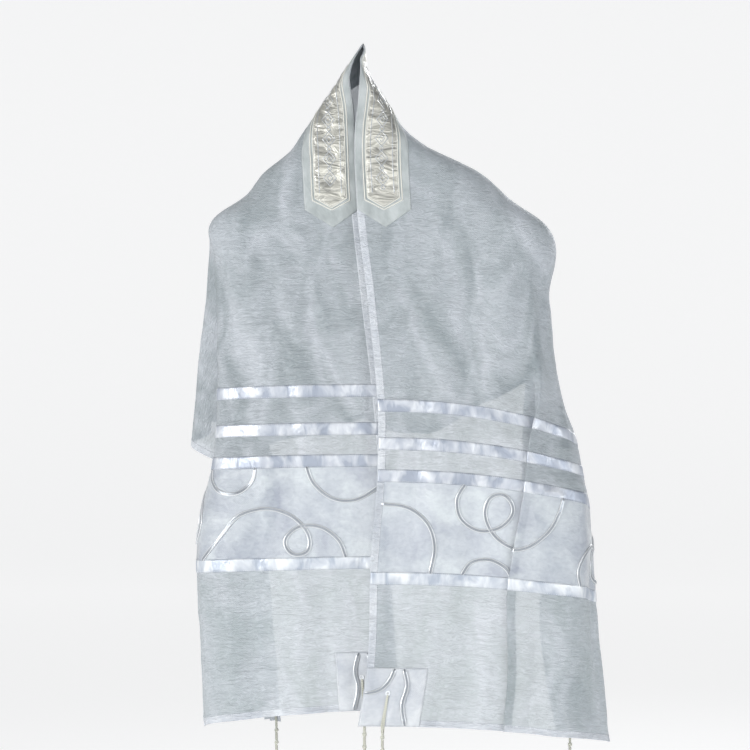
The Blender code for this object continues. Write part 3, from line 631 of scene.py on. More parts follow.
def silverBraid():
    # Soutache: a flat silver braid of rayon over metal yarn. Its two ribs show white, the channel between
    # them is painted grey as shade, and the strands slant across each rib
    made, tree = clothTree("silverBraid")
    split = cutLengths(tree)
    twice = addNode(tree, "ShaderNodeMath", {"operation": "MULTIPLY", 1: 2.0}, {0: split.outputs[0]})
    middle = addNode(tree, "ShaderNodeMath", {"operation": "PINGPONG", 1: 0.5}, {0: twice.outputs[0]})
    strand = addNode(tree, "ShaderNodeMath", {"operation": "MULTIPLY_ADD", 1: 480.0},
                     {0: split.outputs[1], 2: middle.outputs[0]})
    wave = addNode(tree, "ShaderNodeMath", {"operation": "PINGPONG", 1: 0.5}, {0: strand.outputs[0]})
    ribs = tones(tree, middle.outputs[0], "#EEF0F2", "#82888F", 0.22, 0.38)
    finishCloth(tree, ribs, wave.outputs[0], 0.00012,
                {"Roughness": 0.30, "Metallic": 0.40, "Specular IOR Level": 0.9})
    return made


voile = crinkledVoile("crinkledVoile", "#A8B2B5", "#CACFD6", 0.78, 0.88, 0.25)
# the same voile as the ends, its colours painted darker as shade over the doubled, shadowed body
shadedBodyVoile = crinkledVoile("crinkledVoilePaintedShade", "#97A1A5", "#CBD0D7", 0.77, 0.89, 0.25, 0.64)
# turned over in a hem it is whiter and hides what is behind it
turned = crinkledVoile("turnedVoile", "#B0B6BF", "#D4D8DD", 0.97, 1.0, 0.05)
organza = crispOrganza("crispOrganza", "#99A0AD", "#C3CACE", 0.88, 0.97)
organzaDouble = crispOrganza("doubledOrganza", "#B6BCC5", "#D2D6DA", 0.93, 1.0)
# the ribbons above the band are the same satin, painted darker as shade on the upper part of the cloth
# than those under it
satin = ribbonSatin("ribbonSatin", "#A4ADBA", "#DBDFE3")
shadedSatin = ribbonSatin("ribbonSatinPaintedShade", "#969EAC", "#CBCFD5")
poplin, cream = collarPoplin(), creamSatin()
silverCord = silverBraid()
# cotton cord covered in cream bias cloth, the piping round the satin
pipingCord = plainThread("creamPiping", "#C6C6BE", "#E2E2DB", 500, {"Roughness": 0.5, "Sheen Weight": 0.3})
# spun wool, two plies: cream, matt and a little hairy
woolThread = plainThread("spunWool", "#9C9D90", "#DADBD0", 420, {"Roughness": 0.85, "Sheen Weight": 0.6})
# polyester sewing thread: white, and silver grey for the braid, both with a slight shine
whiteThread = plainThread("whiteThread", "#CBD0D6", "#F3F5F8", 900, {"Roughness": 0.4}, 0.0002)
silverThread = plainThread("silverThread", "#83898F", "#A3A9AF", 900, {"Roughness": 0.4}, 0.0002)
print("stage 1: materials made")


# The cloth: one surface for each cut piece, creased by the crinkle in the weave

crinkles = {
    # of each kind, the width and length of a lump and its height
    "fine": {"size": (0.030, 0.0085), "rise": 0.00032},
    "broad": {"size": (0.055, 0.034), "rise": 0.00080},
    "organza": {"size": (0.040, 0.036), "rise": 0.00110},
    "puckers": {"size": (0.0085, 0.08), "rise": 0.00075},
    "warp": {"size": (0.020, 0.030), "rise": 0.8},  # bends the fine creases, in their own lengths
    "puckersFade": 0.014,
    "pressed": 0.012,  # distance from what is sewn on, and from the hem, over which creases grow
}
hem = {
    "wide": cloth["hem"], "rise": 0.00055, "easesOver": 0.0025, "inset": 0.002, "pitch": 0.003,
    "pucker": 0.00022, "puckerSize": (0.007, 0.006),
    "frontWide": 1.15, "endThin": 0.86,  # the front hem's width and the end hems' height, as shares
}
collar = {
    "wide": 0.073, "margin": 0.0155, "half": 0.228, "point": 0.024, "thick": 0.0005, "under": 0.00025,
    "panelHalf": 0.212, "panelPoint": 0.013, "panelThick": 0.00045, "pointFrom": 0.6, "pitch": 0.0024,
    "puff": 0.0005, "puffSize": (0.016, 0.022),
    "dent": 0.0006, "dentSize": (0.022, 0.0062), "smallDentSize": (0.009, 0.011),
    "piping": 0.0008, "pipingTall": 0.0007, "pipingApart": 0.0042,
}
patch = {
    "long": 0.078, "wide": 0.082, "endTrim": 0.0006, "sideTrim": 0.0008, "pitch": 0.0026,
    "under": 0.0002, "thick": 0.0004, "buckle": 0.0007, "buckleSize": (0.018, 0.015),
}


def halfLength(along):
    # from the peak to the end of the half that each point is on
    return np.where(along < 0, cloth["lengths"][-1], cloth["lengths"][1])


def edgeDistance(along, across):
    # on the cut, to the nearest of its four edges
    sides = np.minimum(across, cloth["width"] - across)
    return np.minimum(sides, halfLength(along) - np.abs(along))


def ribbonDistance(along):
    # on the cut, to the nearest ribbon's edge: 0 under it
    fromEnd = halfLength(along) - np.abs(along)
    apart = np.min([np.abs(centre - fromEnd) for centre in ribbonsFromEnd], 0)
    return np.maximum(apart - ribbonWidth / 2, 0.0)


def sewnDistance(along, across):
    # on the cut, from the nearest ribbon, collar or corner patch: 0 under it
    patchDown = np.maximum(halfLength(along) - patch["long"] - np.abs(along), 0)
    patchIn = np.maximum(np.minimum(across, cloth["width"] - across) - patch["wide"], 0)
    collarDown = np.maximum(np.abs(along) - collar["half"] - collar["point"], 0)
    collarIn = np.maximum(across - collar["wide"], 0)
    apart = np.minimum(np.hypot(patchDown, patchIn), np.hypot(collarDown, collarIn))
    return np.minimum(ribbonDistance(along), apart)


def inBand(along):
    # whether a place is on one of the two organza bands
    fromEnd = halfLength(along) - np.abs(along)
    return (fromEnd < ribbonsFromEnd[2]) & (fromEnd > ribbonsFromEnd[3])


def crinkleRise(along, across):
    # Voile has creases that run across it, and organza broad soft buckles. Both have small puckers that
    # leave each line of stitching, and lie flat under what is sewn on them
    def crinkle(kind, seed, shift, moved=0.0):
        # lumps of one kind's size and height
        return crinkles[kind]["rise"] * lumps(along, across, crinkles[kind]["size"], seed, shift, moved)

    pressed = crinkles["pressed"]
    free = ease(sewnDistance(along, across) / pressed)
    free = free * ease((edgeDistance(along, across) - 0.005) / pressed)
    drawn = crinkle("puckers", 11, 40) * np.exp(-ribbonDistance(along) / crinkles["puckersFade"])
    crisp = crinkle("organza", 12, 60)
    soft = crinkle("broad", 15, 60) + crinkle("fine", 14, 90, crinkle("warp", 13, 80))
    return free * (drawn + np.where(inBand(along), crisp, soft))


def placed(along, across, *heights):
    # the crinkled cloth moved out by each of the heights, in metres
    outward = facing(clothPlace, along, across)
    middle = clothPlace(along, across) + crinkleRise(along, across)[..., None] * outward
    moved = [middle + np.asarray(height)[..., None] * outward for height in heights]
    return moved if len(moved) > 1 else moved[0]


def skin(along, across):
    # how far the outer face of the turned hem stands from the middle of the cloth
    return hem["rise"] * (1 - ease((edgeDistance(along, across) - hem["wide"]) / hem["easesOver"]))


def runOf(first, last, pitch):
    # even places from first to last, as near the pitch as will fit
    return np.linspace(first, last, max(3, int(round(abs(last - first) / pitch)) + 1))


def rowsAndColumns(rows, pitch, first, last):
    # Places on the cut, every row with the same number of columns from first to last. The columns on the
    # two sides of the pleat are even, as many as 0.19 and 0.31 m take, and those over it are close
    down = np.abs(rows)
    crease = np.where(rows < 0, *(readTable(halves[sign]["crease"], 1, down) for sign in (-1, 1)))
    wide = pleat["fineWide"]
    stops = [np.full_like(crease, first), crease - wide, crease + wide, np.full_like(crease, last)]
    columns = (0.19 / pitch, 2 * wide / min(pitch, cloth["pleatPitch"]), 0.31 / pitch)
    runs = [start[:, None] + (stop - start)[:, None] * np.linspace(0, 1, int(round(count)) + 1)[:-1]
            for start, stop, count in zip(stops, stops[1:], columns)]
    across = np.concatenate([*runs, stops[-1][:, None]], 1)
    return np.repeat(rows[:, None], across.shape[1], 1), across


def addCloth(name, node, ends, material):
    # one cut piece of the body, from one place along the cut to another, trimmed to lie inside the hems
    inset = hem["inset"]
    first, last = np.clip(sorted(ends), inset - cloth["lengths"][-1], cloth["lengths"][1] - inset)
    rows = runOf(first, last, cloth["rowPitch"])
    along, across = rowsAndColumns(rows, cloth["columnPitch"], inset, cloth["width"] - inset)
    piece = sheetMesh(name, placed(along, across, np.zeros_like(along)), along, across, material)
    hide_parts(node)
    return piece


def seam(half, number):
    # where on the cut a ribbon's middle is, which is also where two pieces of cloth meet
    return half * (cloth["lengths"][half] - ribbonsFromEnd[number])


sideNames = {-1: "left", 1: "right"}
sheets = {"body": addCloth("shadedBodyVoile", "body", (seam(-1, 2), seam(1, 2)), shadedBodyVoile)}
for half, side in sideNames.items():
    band, end = "band_" + side, "end_" + side
    sheets[band] = addCloth(band + "_organza", band, (seam(half, 2), seam(half, 3)), organza)
    low = half * cloth["lengths"][half]
    sheets[end] = addCloth(end + "_voile", end, (seam(half, 3), low), voile)
print("stage 2: cloth hung")


# The satin ribbons, stitched down along both edges

ribbon = {
    "under": 0.00012, "thick": 0.00035, "trim": 0.0006, "rows": 9, "columns": 0.0022,
    "pucker": 0.00080, "pitch": 0.0075, "waves": 0.42, "slow": 0.25,  # gathers, and their two unevennesses
    "fromHem": (0.002, 0.014), "fromPleat": (0.008, 0.020), "pressed": 0.8,
}


def ribbonShell(node, middle, finish):
    # A thin shell that puffs up between its two rows of stitches, by one less the fourth power of the
    # share of half the width, times uneven waves. It lies flat at the hems and where the pleat folds it
    rows = middle + ribbonWidth / 2 * np.linspace(-1, 1, ribbon["rows"])
    trim = ribbon["trim"]
    along, across = rowsAndColumns(rows, ribbon["columns"], trim, cloth["width"] - trim)
    under = skin(along, across) + ribbon["under"]
    share = np.abs(along - middle) / (ribbonWidth / 2)
    puffed = np.clip(1 - share**4, 0, 1) * easeOver(edgeDistance(along, across), *ribbon["fromHem"])
    down = np.abs(along)
    fromCrease = np.abs(across - readTable(halves[1]["crease"], 1, down))
    folded = ease((down - pleat["opens"][0]) / 0.1) * (along > 0)
    puffed = puffed * (1 - ribbon["pressed"] * folded * (1 - easeOver(fromCrease, *ribbon["fromPleat"])))
    seed = int(abs(middle) * 1000) + (500 if middle > 0 else 0)
    waves = valueNoise(across / ribbon["pitch"] + 20, share * 0.35 + 20 + along * 3, seed)
    slow = valueNoise(across / 0.021 + 20, along / 0.02 + 50, seed + 1)
    lift = 0.5 + ribbon["waves"] * waves + ribbon["slow"] * slow
    over = under + ribbon["thick"] + ribbon["pucker"] * puffed * lift
    outer, inner = placed(along, across, over, under)
    piece = shellMesh(node + "_satin", outer, inner, along, across, finish)
    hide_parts(node)


for half, side in sideNames.items():
    for number in range(4):
        node = f"ribbon_{side}_{number + 1}"
        ribbonShell(node, seam(half, number), satin if number == 3 else shadedSatin)
print("stage 3: ribbons sewn")


# The hems: cloth turned over each edge twice, one closed strip to an edge

hemProfile = np.array([
    (1.00, 0.25), (0.97, 0.80), (0.86, 1.00), (0.60, 0.92), (0.25, 1.00), (0.05, 0.90), (0.00, 0.45),
    (0.00, -0.45), (0.05, -0.90), (0.25, -1.00), (0.60, -0.92), (0.86, -1.00), (0.97, -0.80),
    (1.00, -0.25),
])


def hemStrip(name, run, place, scale, seed):
    # The profile carried along an edge, its height scaled and puckered by noise. Place gives (along,
    # across) from how far along the edge and how far in from it
    gone = np.repeat(run[:, None], len(hemProfile), 1)
    inward = np.repeat(hemProfile[None, :, 0] * hem["wide"], len(run), 0)
    along, across = place(gone, inward)
    pucker = hem["pucker"] * lumps(inward, gone, hem["puckerSize"], seed, 30)
    height = hemProfile[None, :, 1] * (scale * hem["rise"] + pucker * (inward > 0.001))
    outward = facing(clothPlace, along, across)
    rings = clothPlace(along, across) + height[..., None] * outward
    ends = rings[[0, -1]].mean(1)
    uv = np.stack([across, along], -1).reshape(-1, 2)
    uv = np.concatenate([uv, [uv[0], uv[-1]]])
    faces = tubeFaces(len(run), len(hemProfile))
    # an edge that runs the other way round turns its tube inside out, so its faces are turned back
    volume = np.einsum("ij,ij->i", np.cross(rings[:-1, 0] - rings[:-1, 3], rings[:-1, 6] - rings[:-1, 3]),
                       rings[1:, 0] - rings[:-1, 0]).sum()
    if volume > 0:
        faces = [part[:, ::-1] for part in faces]
    return meshFrom(name, np.concatenate([rings.reshape(-1, 3), ends]), faces, uv, turned)


longRun = runOf(-cloth["lengths"][-1], cloth["lengths"][1], hem["pitch"])
endRun = runOf(0.0004, cloth["width"] - 0.0004, hem["pitch"])
hems = {
    "front": hemStrip("hem_front", longRun, lambda gone, inward: (gone, inward * hem["frontWide"]),
                      1.0, 31),
    "back": hemStrip("hem_back", longRun, lambda gone, inward: (gone, cloth["width"] - inward),
                     1.0, 32),
}
for half, side in sideNames.items():
    end = half * cloth["lengths"][half]
    hems[side] = hemStrip("hem_end_" + side, endRun, lambda gone, inward: (end - half * inward, gone),
                          hem["endThin"], 33 + half)
print("stage 4: hems turned")


# The collar, its satin panel and the piping round it

def pointed(along, across, middle, halfWidth, reach, point):
    # draws the rows out so that each end of the strip comes to a point in the middle
    tip = point * (1 - np.abs(across - middle) / halfWidth)
    stretch = ease((np.abs(along) / reach - collar["pointFrom"]) / (1 - collar["pointFrom"]))
    return along + np.sign(along) * tip * stretch


def pointedGrid(reach, point, first, last, pitch):
    # an even grid drawn out to its points, with each place's distance from the rim
    along, across = np.meshgrid(runOf(-reach, reach, pitch), runOf(first, last, pitch), indexing="ij")
    middle, halfWidth = (first + last) / 2, (last - first) / 2
    rim = np.minimum(halfWidth - np.abs(across - middle), reach - np.abs(along))
    return pointed(along, across, middle, halfWidth, reach, point), across, rim


def collarTop(along, across):
    # the collar's outer face: a little lower along its folded rim, and softly uneven
    soft = collar["puff"] * 0.5 * (1 + lumps(along, across, collar["puffSize"], 41, 30))
    rim = np.minimum(across, collar["wide"] - across)
    return skin(along, across) + collar["under"] + collar["thick"] + soft * ease(rim / 0.008)


panelFirst, panelLast = collar["margin"], collar["wide"] - collar["margin"]


def panelTop(along, across, rim):
    # the satin panel's outer face: crumples that run across it, pressed out along its stitched rim
    crumple = lumps(along, across, collar["dentSize"], 42, 10)
    crumple = crumple + 0.7 * lumps(along, across, collar["smallDentSize"], 43, 10)
    puff = collar["puff"] + collar["dent"] * crumple
    return collarTop(along, across) + collar["panelThick"] + 0.0001 + puff * ease(rim / 0.006)


along, across, rim = pointedGrid(collar["half"], collar["point"], 0.0005, collar["wide"], collar["pitch"])
under = skin(along, across) + collar["under"]
top = collarTop(along, across) - 0.0003 * (1 - ease(rim / 0.0016))
outer, inner = placed(along, across, top, under)
collarPiece = shellMesh("collar_poplin", outer, inner, along, across, poplin)
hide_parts("collar")

along, across, rim = pointedGrid(collar["panelHalf"], collar["panelPoint"], panelFirst, panelLast,
                                 collar["pitch"] * 0.8)
top = panelTop(along, across, rim)
outer, inner = placed(along, across, top, collarTop(along, across) + 0.0001)
panelPiece = shellMesh("collar_panel_satin", outer, inner, along, across, cream)
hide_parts("collar_panel")


def pointedOutline(grow, pitch=0.0018):
    # round the panel, a fixed distance outside it: down one side, round the point and up the other
    reach, point = collar["panelHalf"] + 0.8 * grow, collar["panelPoint"]
    first, last = panelFirst - grow, panelLast + grow
    middle, halfWidth = (first + last) / 2, (last - first) / 2
    corners = np.array([
        (0, last), (reach, last), (reach + point, middle), (reach, first), (-reach, first),
        (-reach - point, middle), (-reach, last), (0, last),
    ])
    return evenly(corners, pitch)


def laidTube(path, face, lift, wide, tall, sides=8, lobes=0, deep=0.0):
    # a tube along a path on the cut, lifted off one face of the cloth; its width lies flat on it
    centres = placed(*path.T, face(*path.T) + lift)
    outward = facing(clothPlace, *path.T)
    run = np.gradient(centres, axis=0)
    return tubeParts(centres, np.cross(outward, run), wide, tall, sides, lobes, 0.0, deep)


tubes = [laidTube(pointedOutline(grow), collarTop, 0.0004, collar["piping"], collar["pipingTall"])
         for grow in (0.0004, collar["pipingApart"])]
piping = joinedTubes("collar_piping", tubes, pipingCord)
print("stage 5: collar sewn")


# The corner patches

corners = [(half, side, place) for half, side in sideNames.items() for place in ("front", "back")]


def inward(place, reach):
    # a distance in from the front or the back edge, as a place across the cut
    return reach if place == "front" else cloth["width"] - reach


for half, side, place in corners:
    end = half * (cloth["lengths"][half] - patch["endTrim"])
    rows = runOf(*sorted((end - half * patch["long"], end)), patch["pitch"])
    span = sorted((inward(place, patch["sideTrim"]), inward(place, patch["wide"])))
    along, across = np.meshgrid(rows, runOf(*span, patch["pitch"]), indexing="ij")
    rim = np.min([along - rows[0], rows[-1] - along, across - span[0], span[1] - across], 0)
    under = skin(along, across) + patch["under"]
    buckle = lumps(along, across, patch["buckleSize"], 51 + half + 2 * (place == "back"), 7)
    over = under + patch["thick"] + patch["buckle"] * (0.5 + 0.5 * buckle) * ease(rim / 0.008)
    outer, inner = placed(along, across, over, under)
    node = f"patch_{side}_{place}"
    shellMesh(node + "_organza", outer, inner, along, across, organzaDouble)
    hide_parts(node)
print("stage 6: corner patches sewn")


# The couched braid. The bands are cut from organza sewn all over with curling vines, so a vine runs in
# from under a ribbon or a hem and out under another; the corner patches are offcuts of it.

cord = {
    "wide": 0.0027, "tall": 0.0010, "pitch": 0.0013, "stitch": 0.0030, "dives": 0.004,
    # vines on each band: millimetres in from the front edge, and down from the ribbon above
    -1: (((8, 25), (42, 44), (74, 42), (98, 22), (107, -2)),
         ((59, 122), (68, 98), (92, 80), (122, 80), (140, 98), (130, 116), (110, 112), (108, 90),
          (128, 66), (162, 54), (196, 62), (218, 86), (238, 108), (256, 122)),
         ((173, -2), (179, 18), (198, 33), (222, 30), (238, 14), (242, -2)),
         ((295, -2), (286, 22), (266, 44), (258, 72), (276, 94), (306, 96), (324, 76), (316, 52),
          (294, 48), (284, 68), (300, 96), (332, 112), (366, 104), (388, 78), (402, 48), (430, 32),
          (460, 42), (472, 66), (456, 82), (440, 66), (452, 42), (484, 26), (530, 34))),
    1: (((8, 29), (44, 34), (72, 54), (84, 86), (80, 122)),
        ((118, -2), (108, 20), (116, 46), (142, 60), (170, 52), (184, 28), (172, 8), (152, 14),
         (148, 40), (166, 68), (200, 82), (234, 76), (258, 52), (270, 22), (275, -2)),
        ((122, 122), (134, 104), (158, 98), (180, 107), (190, 122)),
        ((305, 122), (300, 98), (314, 70), (344, 56), (374, 64), (386, 88), (372, 108), (350, 102),
         (346, 76), (366, 48), (400, 32), (436, 38), (464, 62), (494, 80), (530, 76)),
        ((425, 122), (434, 104), (456, 98), (476, 108), (483, 122))),
    # on a front corner patch and on a back one: millimetres in from the long edge, and down the patch
    "front": (((50, 1), (57, 24), (54, 48), (62, 76)), ((2, 34), (20, 30), (32, 18), (38, 1))),
    "back": (((26, 1), (20, 26), (30, 50), (28, 76)), ((80, 22), (66, 36), (60, 56), (66, 76))),
}


def vine(points, reach=4):
    # a smooth line through the points as (across, down) in metres, averaged over its near neighbours
    path = evenly(smoothPath(np.array(points) / 1000, 600), cord["pitch"])
    padded = np.concatenate([np.linspace(2 * path[0] - path[reach], path[0], reach, endpoint=False), path,
                             np.linspace(path[-1], 2 * path[-1] - path[-1 - reach], reach + 1)[1:]])
    return np.mean([padded[k:len(path) + k] for k in range(2 * reach + 1)], 0)


def cordTubes(paths, face):
    # two ribs side by side, narrower where the ends dive into the cloth
    tubes = []
    for path in paths:
        gone = lengthsAlong(path)
        ends = np.clip(np.minimum(gone, gone[-1] - gone) / cord["dives"], 0, 1)
        lift, wide = cord["tall"] * (1.6 * ends - 0.7), cord["wide"] * (0.45 + 0.55 * ends)
        tubes.append(laidTube(path, face, lift, wide, cord["tall"], 16, 4, -0.22))
    return tubes


def bareCloth(along, across):
    # the cloth itself
    return np.zeros_like(along)


def patchTop(along, across):
    # a patch's outer face, at three quarters of the height of its waves
    return skin(along, across) + patch["under"] + patch["thick"] + patch["buckle"] * 0.75


swirls, cordPaths = {}, []
for half, side in sideNames.items():
    top = cloth["lengths"][half] - ribbonsFromEnd[2] + ribbonWidth / 2
    paths = [np.stack([half * (top + path[:, 1]), path[:, 0]], 1) for path in map(vine, cord[half])]
    cordPaths += [(path, bareCloth) for path in paths]
    swirls[side] = joinedTubes("band_" + side + "_cord", cordTubes(paths, bareCloth), silverCord)

for half, side, place in corners:
    top = cloth["lengths"][half] - patch["long"]
    paths = [np.stack([half * (top + path[:, 1]), inward(place, path[:, 0])], 1)
             for path in map(vine, cord[place])]
    cordPaths += [(path, patchTop) for path in paths]
    node = f"patch_{side}_{place}"
    joinedTubes(node + "_cord", cordTubes(paths, patchTop), silverCord)
print("stage 7: cord couched")


# The ornament on the collar panel: a plain chain of lozenges and rings between two lines

chain = {
    "pitch": 0.0265, "long": 0.0105, "wide": 0.0085, "inner": 0.45, "ring": 0.0026, "line": 0.0148,
    "lineFrom": 0.016, "lineEnd": 0.006, "thread": 0.00062, "tall": 0.0004, "lift": 0.00018,
}


def circle(radius, angle):
    # points at these angles round a circle
    return radius * np.stack([np.cos(angle), np.sin(angle)], 1)


def chainPaths():
    # On the cut: two lozenges at each step, a ring between steps, and four straight lines. The middle
    # step of the collar is left free
    middle = (panelFirst + panelLast) / 2
    long, wide = chain["long"], chain["wide"]
    lozenge = np.array([(-long, 0), (0, -wide), (long, 0), (0, wide), (-long, 0)])
    paths = []
    for number in range(-8, 9):
        along, between = number * chain["pitch"], (number + 0.5) * chain["pitch"]
        if abs(along) + chain["pitch"] / 2 > collar["panelHalf"]:
            continue
        if number:
            paths += [evenly(lozenge * size + (along, middle), 0.0012) for size in (1, chain["inner"])]
        if abs(between) > 0.02:
            paths.append(circle(chain["ring"], np.linspace(0, 2 * math.pi, 15)) + (between, middle))
    first, last = chain["lineFrom"], collar["panelHalf"] - chain["lineEnd"]
    for across in (middle - chain["line"], middle + chain["line"]):
        for sign in (-1, 1):
            paths.append(evenly(np.array([(sign * first, across), (sign * last, across)]), 0.0016))
    return paths


def panelFace(along, across):
    # the satin panel's outer face, with its rim worked out from its long edges and its reach
    rim = np.min([across - panelFirst, panelLast - across, collar["panelHalf"] - np.abs(along)], 0)
    return panelTop(along, across, np.maximum(rim, 0))


tubes = [laidTube(path, panelFace, chain["lift"], chain["thread"], chain["tall"], 7)
         for path in chainPaths()]
ornament = joinedTubes("collar_panel_chain", tubes, silverCord)
print("stage 8: ornament stitched")


# The sewing: rows of short stitches, and those that hold the braid down along its channel

sewing = {
    "pitch": 0.0026, "fills": 0.70, "wide": 0.00024, "tall": 0.00016, "lift": 0.00012,
    # how far each row lies inside the edge that it holds
    "inset": 0.0011, "patchInset": 0.0014, "panelInset": 0.0016, "collarInset": (0.0016, 0.0014),
    # where rows start and end
    "fromHem": 0.003, "fromCorner": 0.010, "collarRun": (0.004, 0.2275),
    "onCord": 1.72,  # height of the stitches over the braid, in its own heights
}
stitchShape = np.array([
    (-1.0, 0, -1.6), (-0.55, 1, 0), (-0.55, 0, 1), (-0.55, -1, 0), (-0.55, 0, -1),
    (0.55, 1, 0), (0.55, 0, 1), (0.55, -1, 0), (0.55, 0, -1), (1.0, 0, -1.6),
])
stitchQuads = np.array([(1, 2, 6, 5), (2, 3, 7, 6), (3, 4, 8, 7), (4, 1, 5, 8)])
stitchTips = np.array([
    (0, 2, 1), (0, 3, 2), (0, 4, 3), (0, 1, 4), (9, 5, 6), (9, 6, 7), (9, 7, 8), (9, 8, 5),
])


def stitches(name, rows, thread):
    # Each stitch is a spindle. A point of its shape is so many half lengths along the row, widths aside
    # and heights out from the face
    points, uvs = [], []
    x, y, z = stitchShape.T[:, None, :, None]
    for path, rise in rows:
        centres = placed(*path.T, rise)
        outward = facing(clothPlace, *path.T)
        run = np.gradient(centres, axis=0)
        length = np.linalg.norm(run, axis=1)
        run /= np.maximum(length, 1e-9)[:, None]
        aside = np.cross(outward, run)
        reach = 0.5 * sewing["fills"] * length
        shape = x * (run * reach[:, None])[:, None]
        shape = shape + sewing["wide"] * y * aside[:, None]
        shape = shape + sewing["tall"] * z * outward[:, None]
        points.append((centres[:, None] + shape).reshape(-1, 3))
        uvs.append(np.tile(stitchShape[:, [1, 0]] * (0.25, 0.001), (len(path), 1)))
    points, uv = np.concatenate(points), np.concatenate(uvs)
    start = (np.arange(len(points) // len(stitchShape)) * len(stitchShape))[:, None, None]
    quads, tips = (stitchQuads + start).reshape(-1, 4), (stitchTips + start).reshape(-1, 3)
    return meshFrom(name, points, [quads, tips], uv, thread)


def rowOn(path, face, lift=sewing["lift"]):
    # a row of stitches along a path, lifted off one face of the cloth
    return path, face(*path.T) + lift


def sewnRow(first, last, face):
    # a straight row from one place on the cut to another
    return rowOn(evenly(np.array([first, last], float), sewing["pitch"]), face)


def ribbonFace(along, across):
    # a ribbon's outer face along its stitched edges
    return skin(along, across) + ribbon["under"] + ribbon["thick"]


def hemFace(along, across):
    # the outer face of a turned hem
    return np.full_like(along, hem["rise"] * 1.02)


width = cloth["width"]
for half, side in sideNames.items():
    edge = ribbonWidth / 2 - sewing["inset"]
    lines = [seam(half, number) + edge * sign for number in range(4) for sign in (-1, 1)]
    near, far = sewing["fromHem"], width - sewing["fromHem"]
    rows = [sewnRow((line, near), (line, far), ribbonFace) for line in lines]
    stitches(f"ribbon_stitches_{side}", rows, whiteThread)

inset, clear = hem["wide"] - sewing["inset"], sewing["fromCorner"]
rows = [sewnRow((clear - cloth["lengths"][-1], across), (cloth["lengths"][1] - clear, across), hemFace)
        for across in (inset * hem["frontWide"], width - inset)]
for half in sideNames:
    line = half * (cloth["lengths"][half] - inset)
    rows.append(sewnRow((line, clear), (line, width - clear), hemFace))
hemStitches = stitches("hem_stitches", rows, whiteThread)

outside, inside = collar["pipingApart"] + sewing["panelInset"], -sewing["panelInset"]
rows = [rowOn(pointedOutline(grow, sewing["pitch"]), face)
        for grow, face in ((outside, collarTop), (inside, panelFace))]
near, far = sewing["collarInset"]
for half in sideNames:
    first, last = (half * end for end in sewing["collarRun"])
    for across in (collar["wide"] - far, near):
        rows.append(sewnRow((first, across), (last, across), collarTop))
collarStitches = stitches("collar_stitches", rows, whiteThread)

rows = []
for half, side, place in corners:
    top = half * (cloth["lengths"][half] - patch["long"] + sewing["patchInset"])
    end = half * (cloth["lengths"][half] - clear)
    near, far = inward(place, clear), inward(place, patch["wide"] - sewing["patchInset"])
    rows.append(sewnRow((top, near), (top, far), patchTop))
    rows.append(sewnRow((top, far), (end, far), patchTop))
stitches("patch_stitches", rows, whiteThread)

rows = [rowOn(evenly(path, cord["stitch"])[2:-2], face, cord["tall"] * sewing["onCord"])
        for path, face in cordPaths]
stitches("cord_stitches", rows, silverThread)
print("stage 9: stitches sewn")


# The tzitzit: wool threads that pass through a stitched eyelet, lie over the hem, and are knotted

wool = {
    "hole": 0.0445,  # up from the end; in from the front or the back edge:
    "in": {"left_front": 0.048, "left_back": 0.026, "right_front": 0.033, "right_back": 0.030},
    "thread": 0.00062, "apart": 0.00135, "gather": 0.0009, "drop": 0.010,
    "knotted": 0.085, "turns": (7, 8, 11, 13), "knotShare": 0.36, "lastCoil": 0.0055, "lastKnot": 0.0035,
    "knot": 0.0023, "knotThread": 0.00085, "coil": 0.0017, "core": 0.0012,
    "free": 0.170, "freeThread": 0.00085, "splay": 0.007, "ply": 230,
    "eyelet": ((0.0030, 0.0006), (0.0020, 0.0005)),  # each ring's radius and thickness
}
ahead, upward = np.array([1.0, 0.0, 0.0]), np.array([0.0, 0.0, 1.0])


def loopThread(half, across, offset, outside):
    # from the eyelet down one face of the patch, over the hem's edge and into the top of the knots
    end = cloth["lengths"][half]
    along = half * np.linspace(end - wool["hole"], end, 26)
    beside = across + offset * np.linspace(0.35, 1, 26)
    if outside:
        clear = patchTop(along, beside) + wool["thread"] * 1.1
        clear[:2] = (-0.0004, 0.0006)
    else:
        clear = -skin(along, beside) - wool["thread"] * 1.4
        clear[:2] = (0.0004, -0.0003)
    return placed(along, beside, clear)


def knottedTubes(top, turn):
    # Each double knot is three rings of different tilt. Under it the winding thread goes round and round
    # a core, evenly down to the next knot
    whole, step = wool["knotted"], wool["knotted"] / (len(wool["turns"]) + 1)
    core = top - np.outer(np.linspace(0, whole, 40), upward)
    tubes = [tubeParts(core, ahead, wool["core"], wool["core"])]
    for knot, count in enumerate((*wool["turns"], 0)):
        down = (knot + 0.25) * step if count else whole - wool["lastKnot"]
        angle = np.linspace(0, 2 * math.pi, 25)
        for tilt, wound in ((0.62, 0.0), (-0.62, 0.9), (0.15, 2.0)):
            tilted = wool["knot"] * math.tan(tilt) * np.cos(angle + wound + turn)
            ring = np.column_stack([circle(wool["knot"], angle), tilted])
            thick = wool["knotThread"]
            tubes.append(tubeParts(top - down * upward + ring, upward, thick, thick))
        if count:
            first = (knot + 0.25 + wool["knotShare"] / 2) * step
            last = (knot + 1.25 - wool["knotShare"] / 2) * step
            if knot == len(wool["turns"]) - 1:
                last = whole - wool["lastCoil"]
            angle = np.linspace(0, 2 * math.pi * count, 14 * count)
            downward = np.linspace(first, last, len(angle))
            spiral = np.column_stack([circle(wool["coil"], angle + turn), -downward])
            thick = min(wool["thread"], 0.48 * (last - first) / count)
            tubes.append(tubeParts(top + spiral, upward, thick, thick, 6))
    return tubes


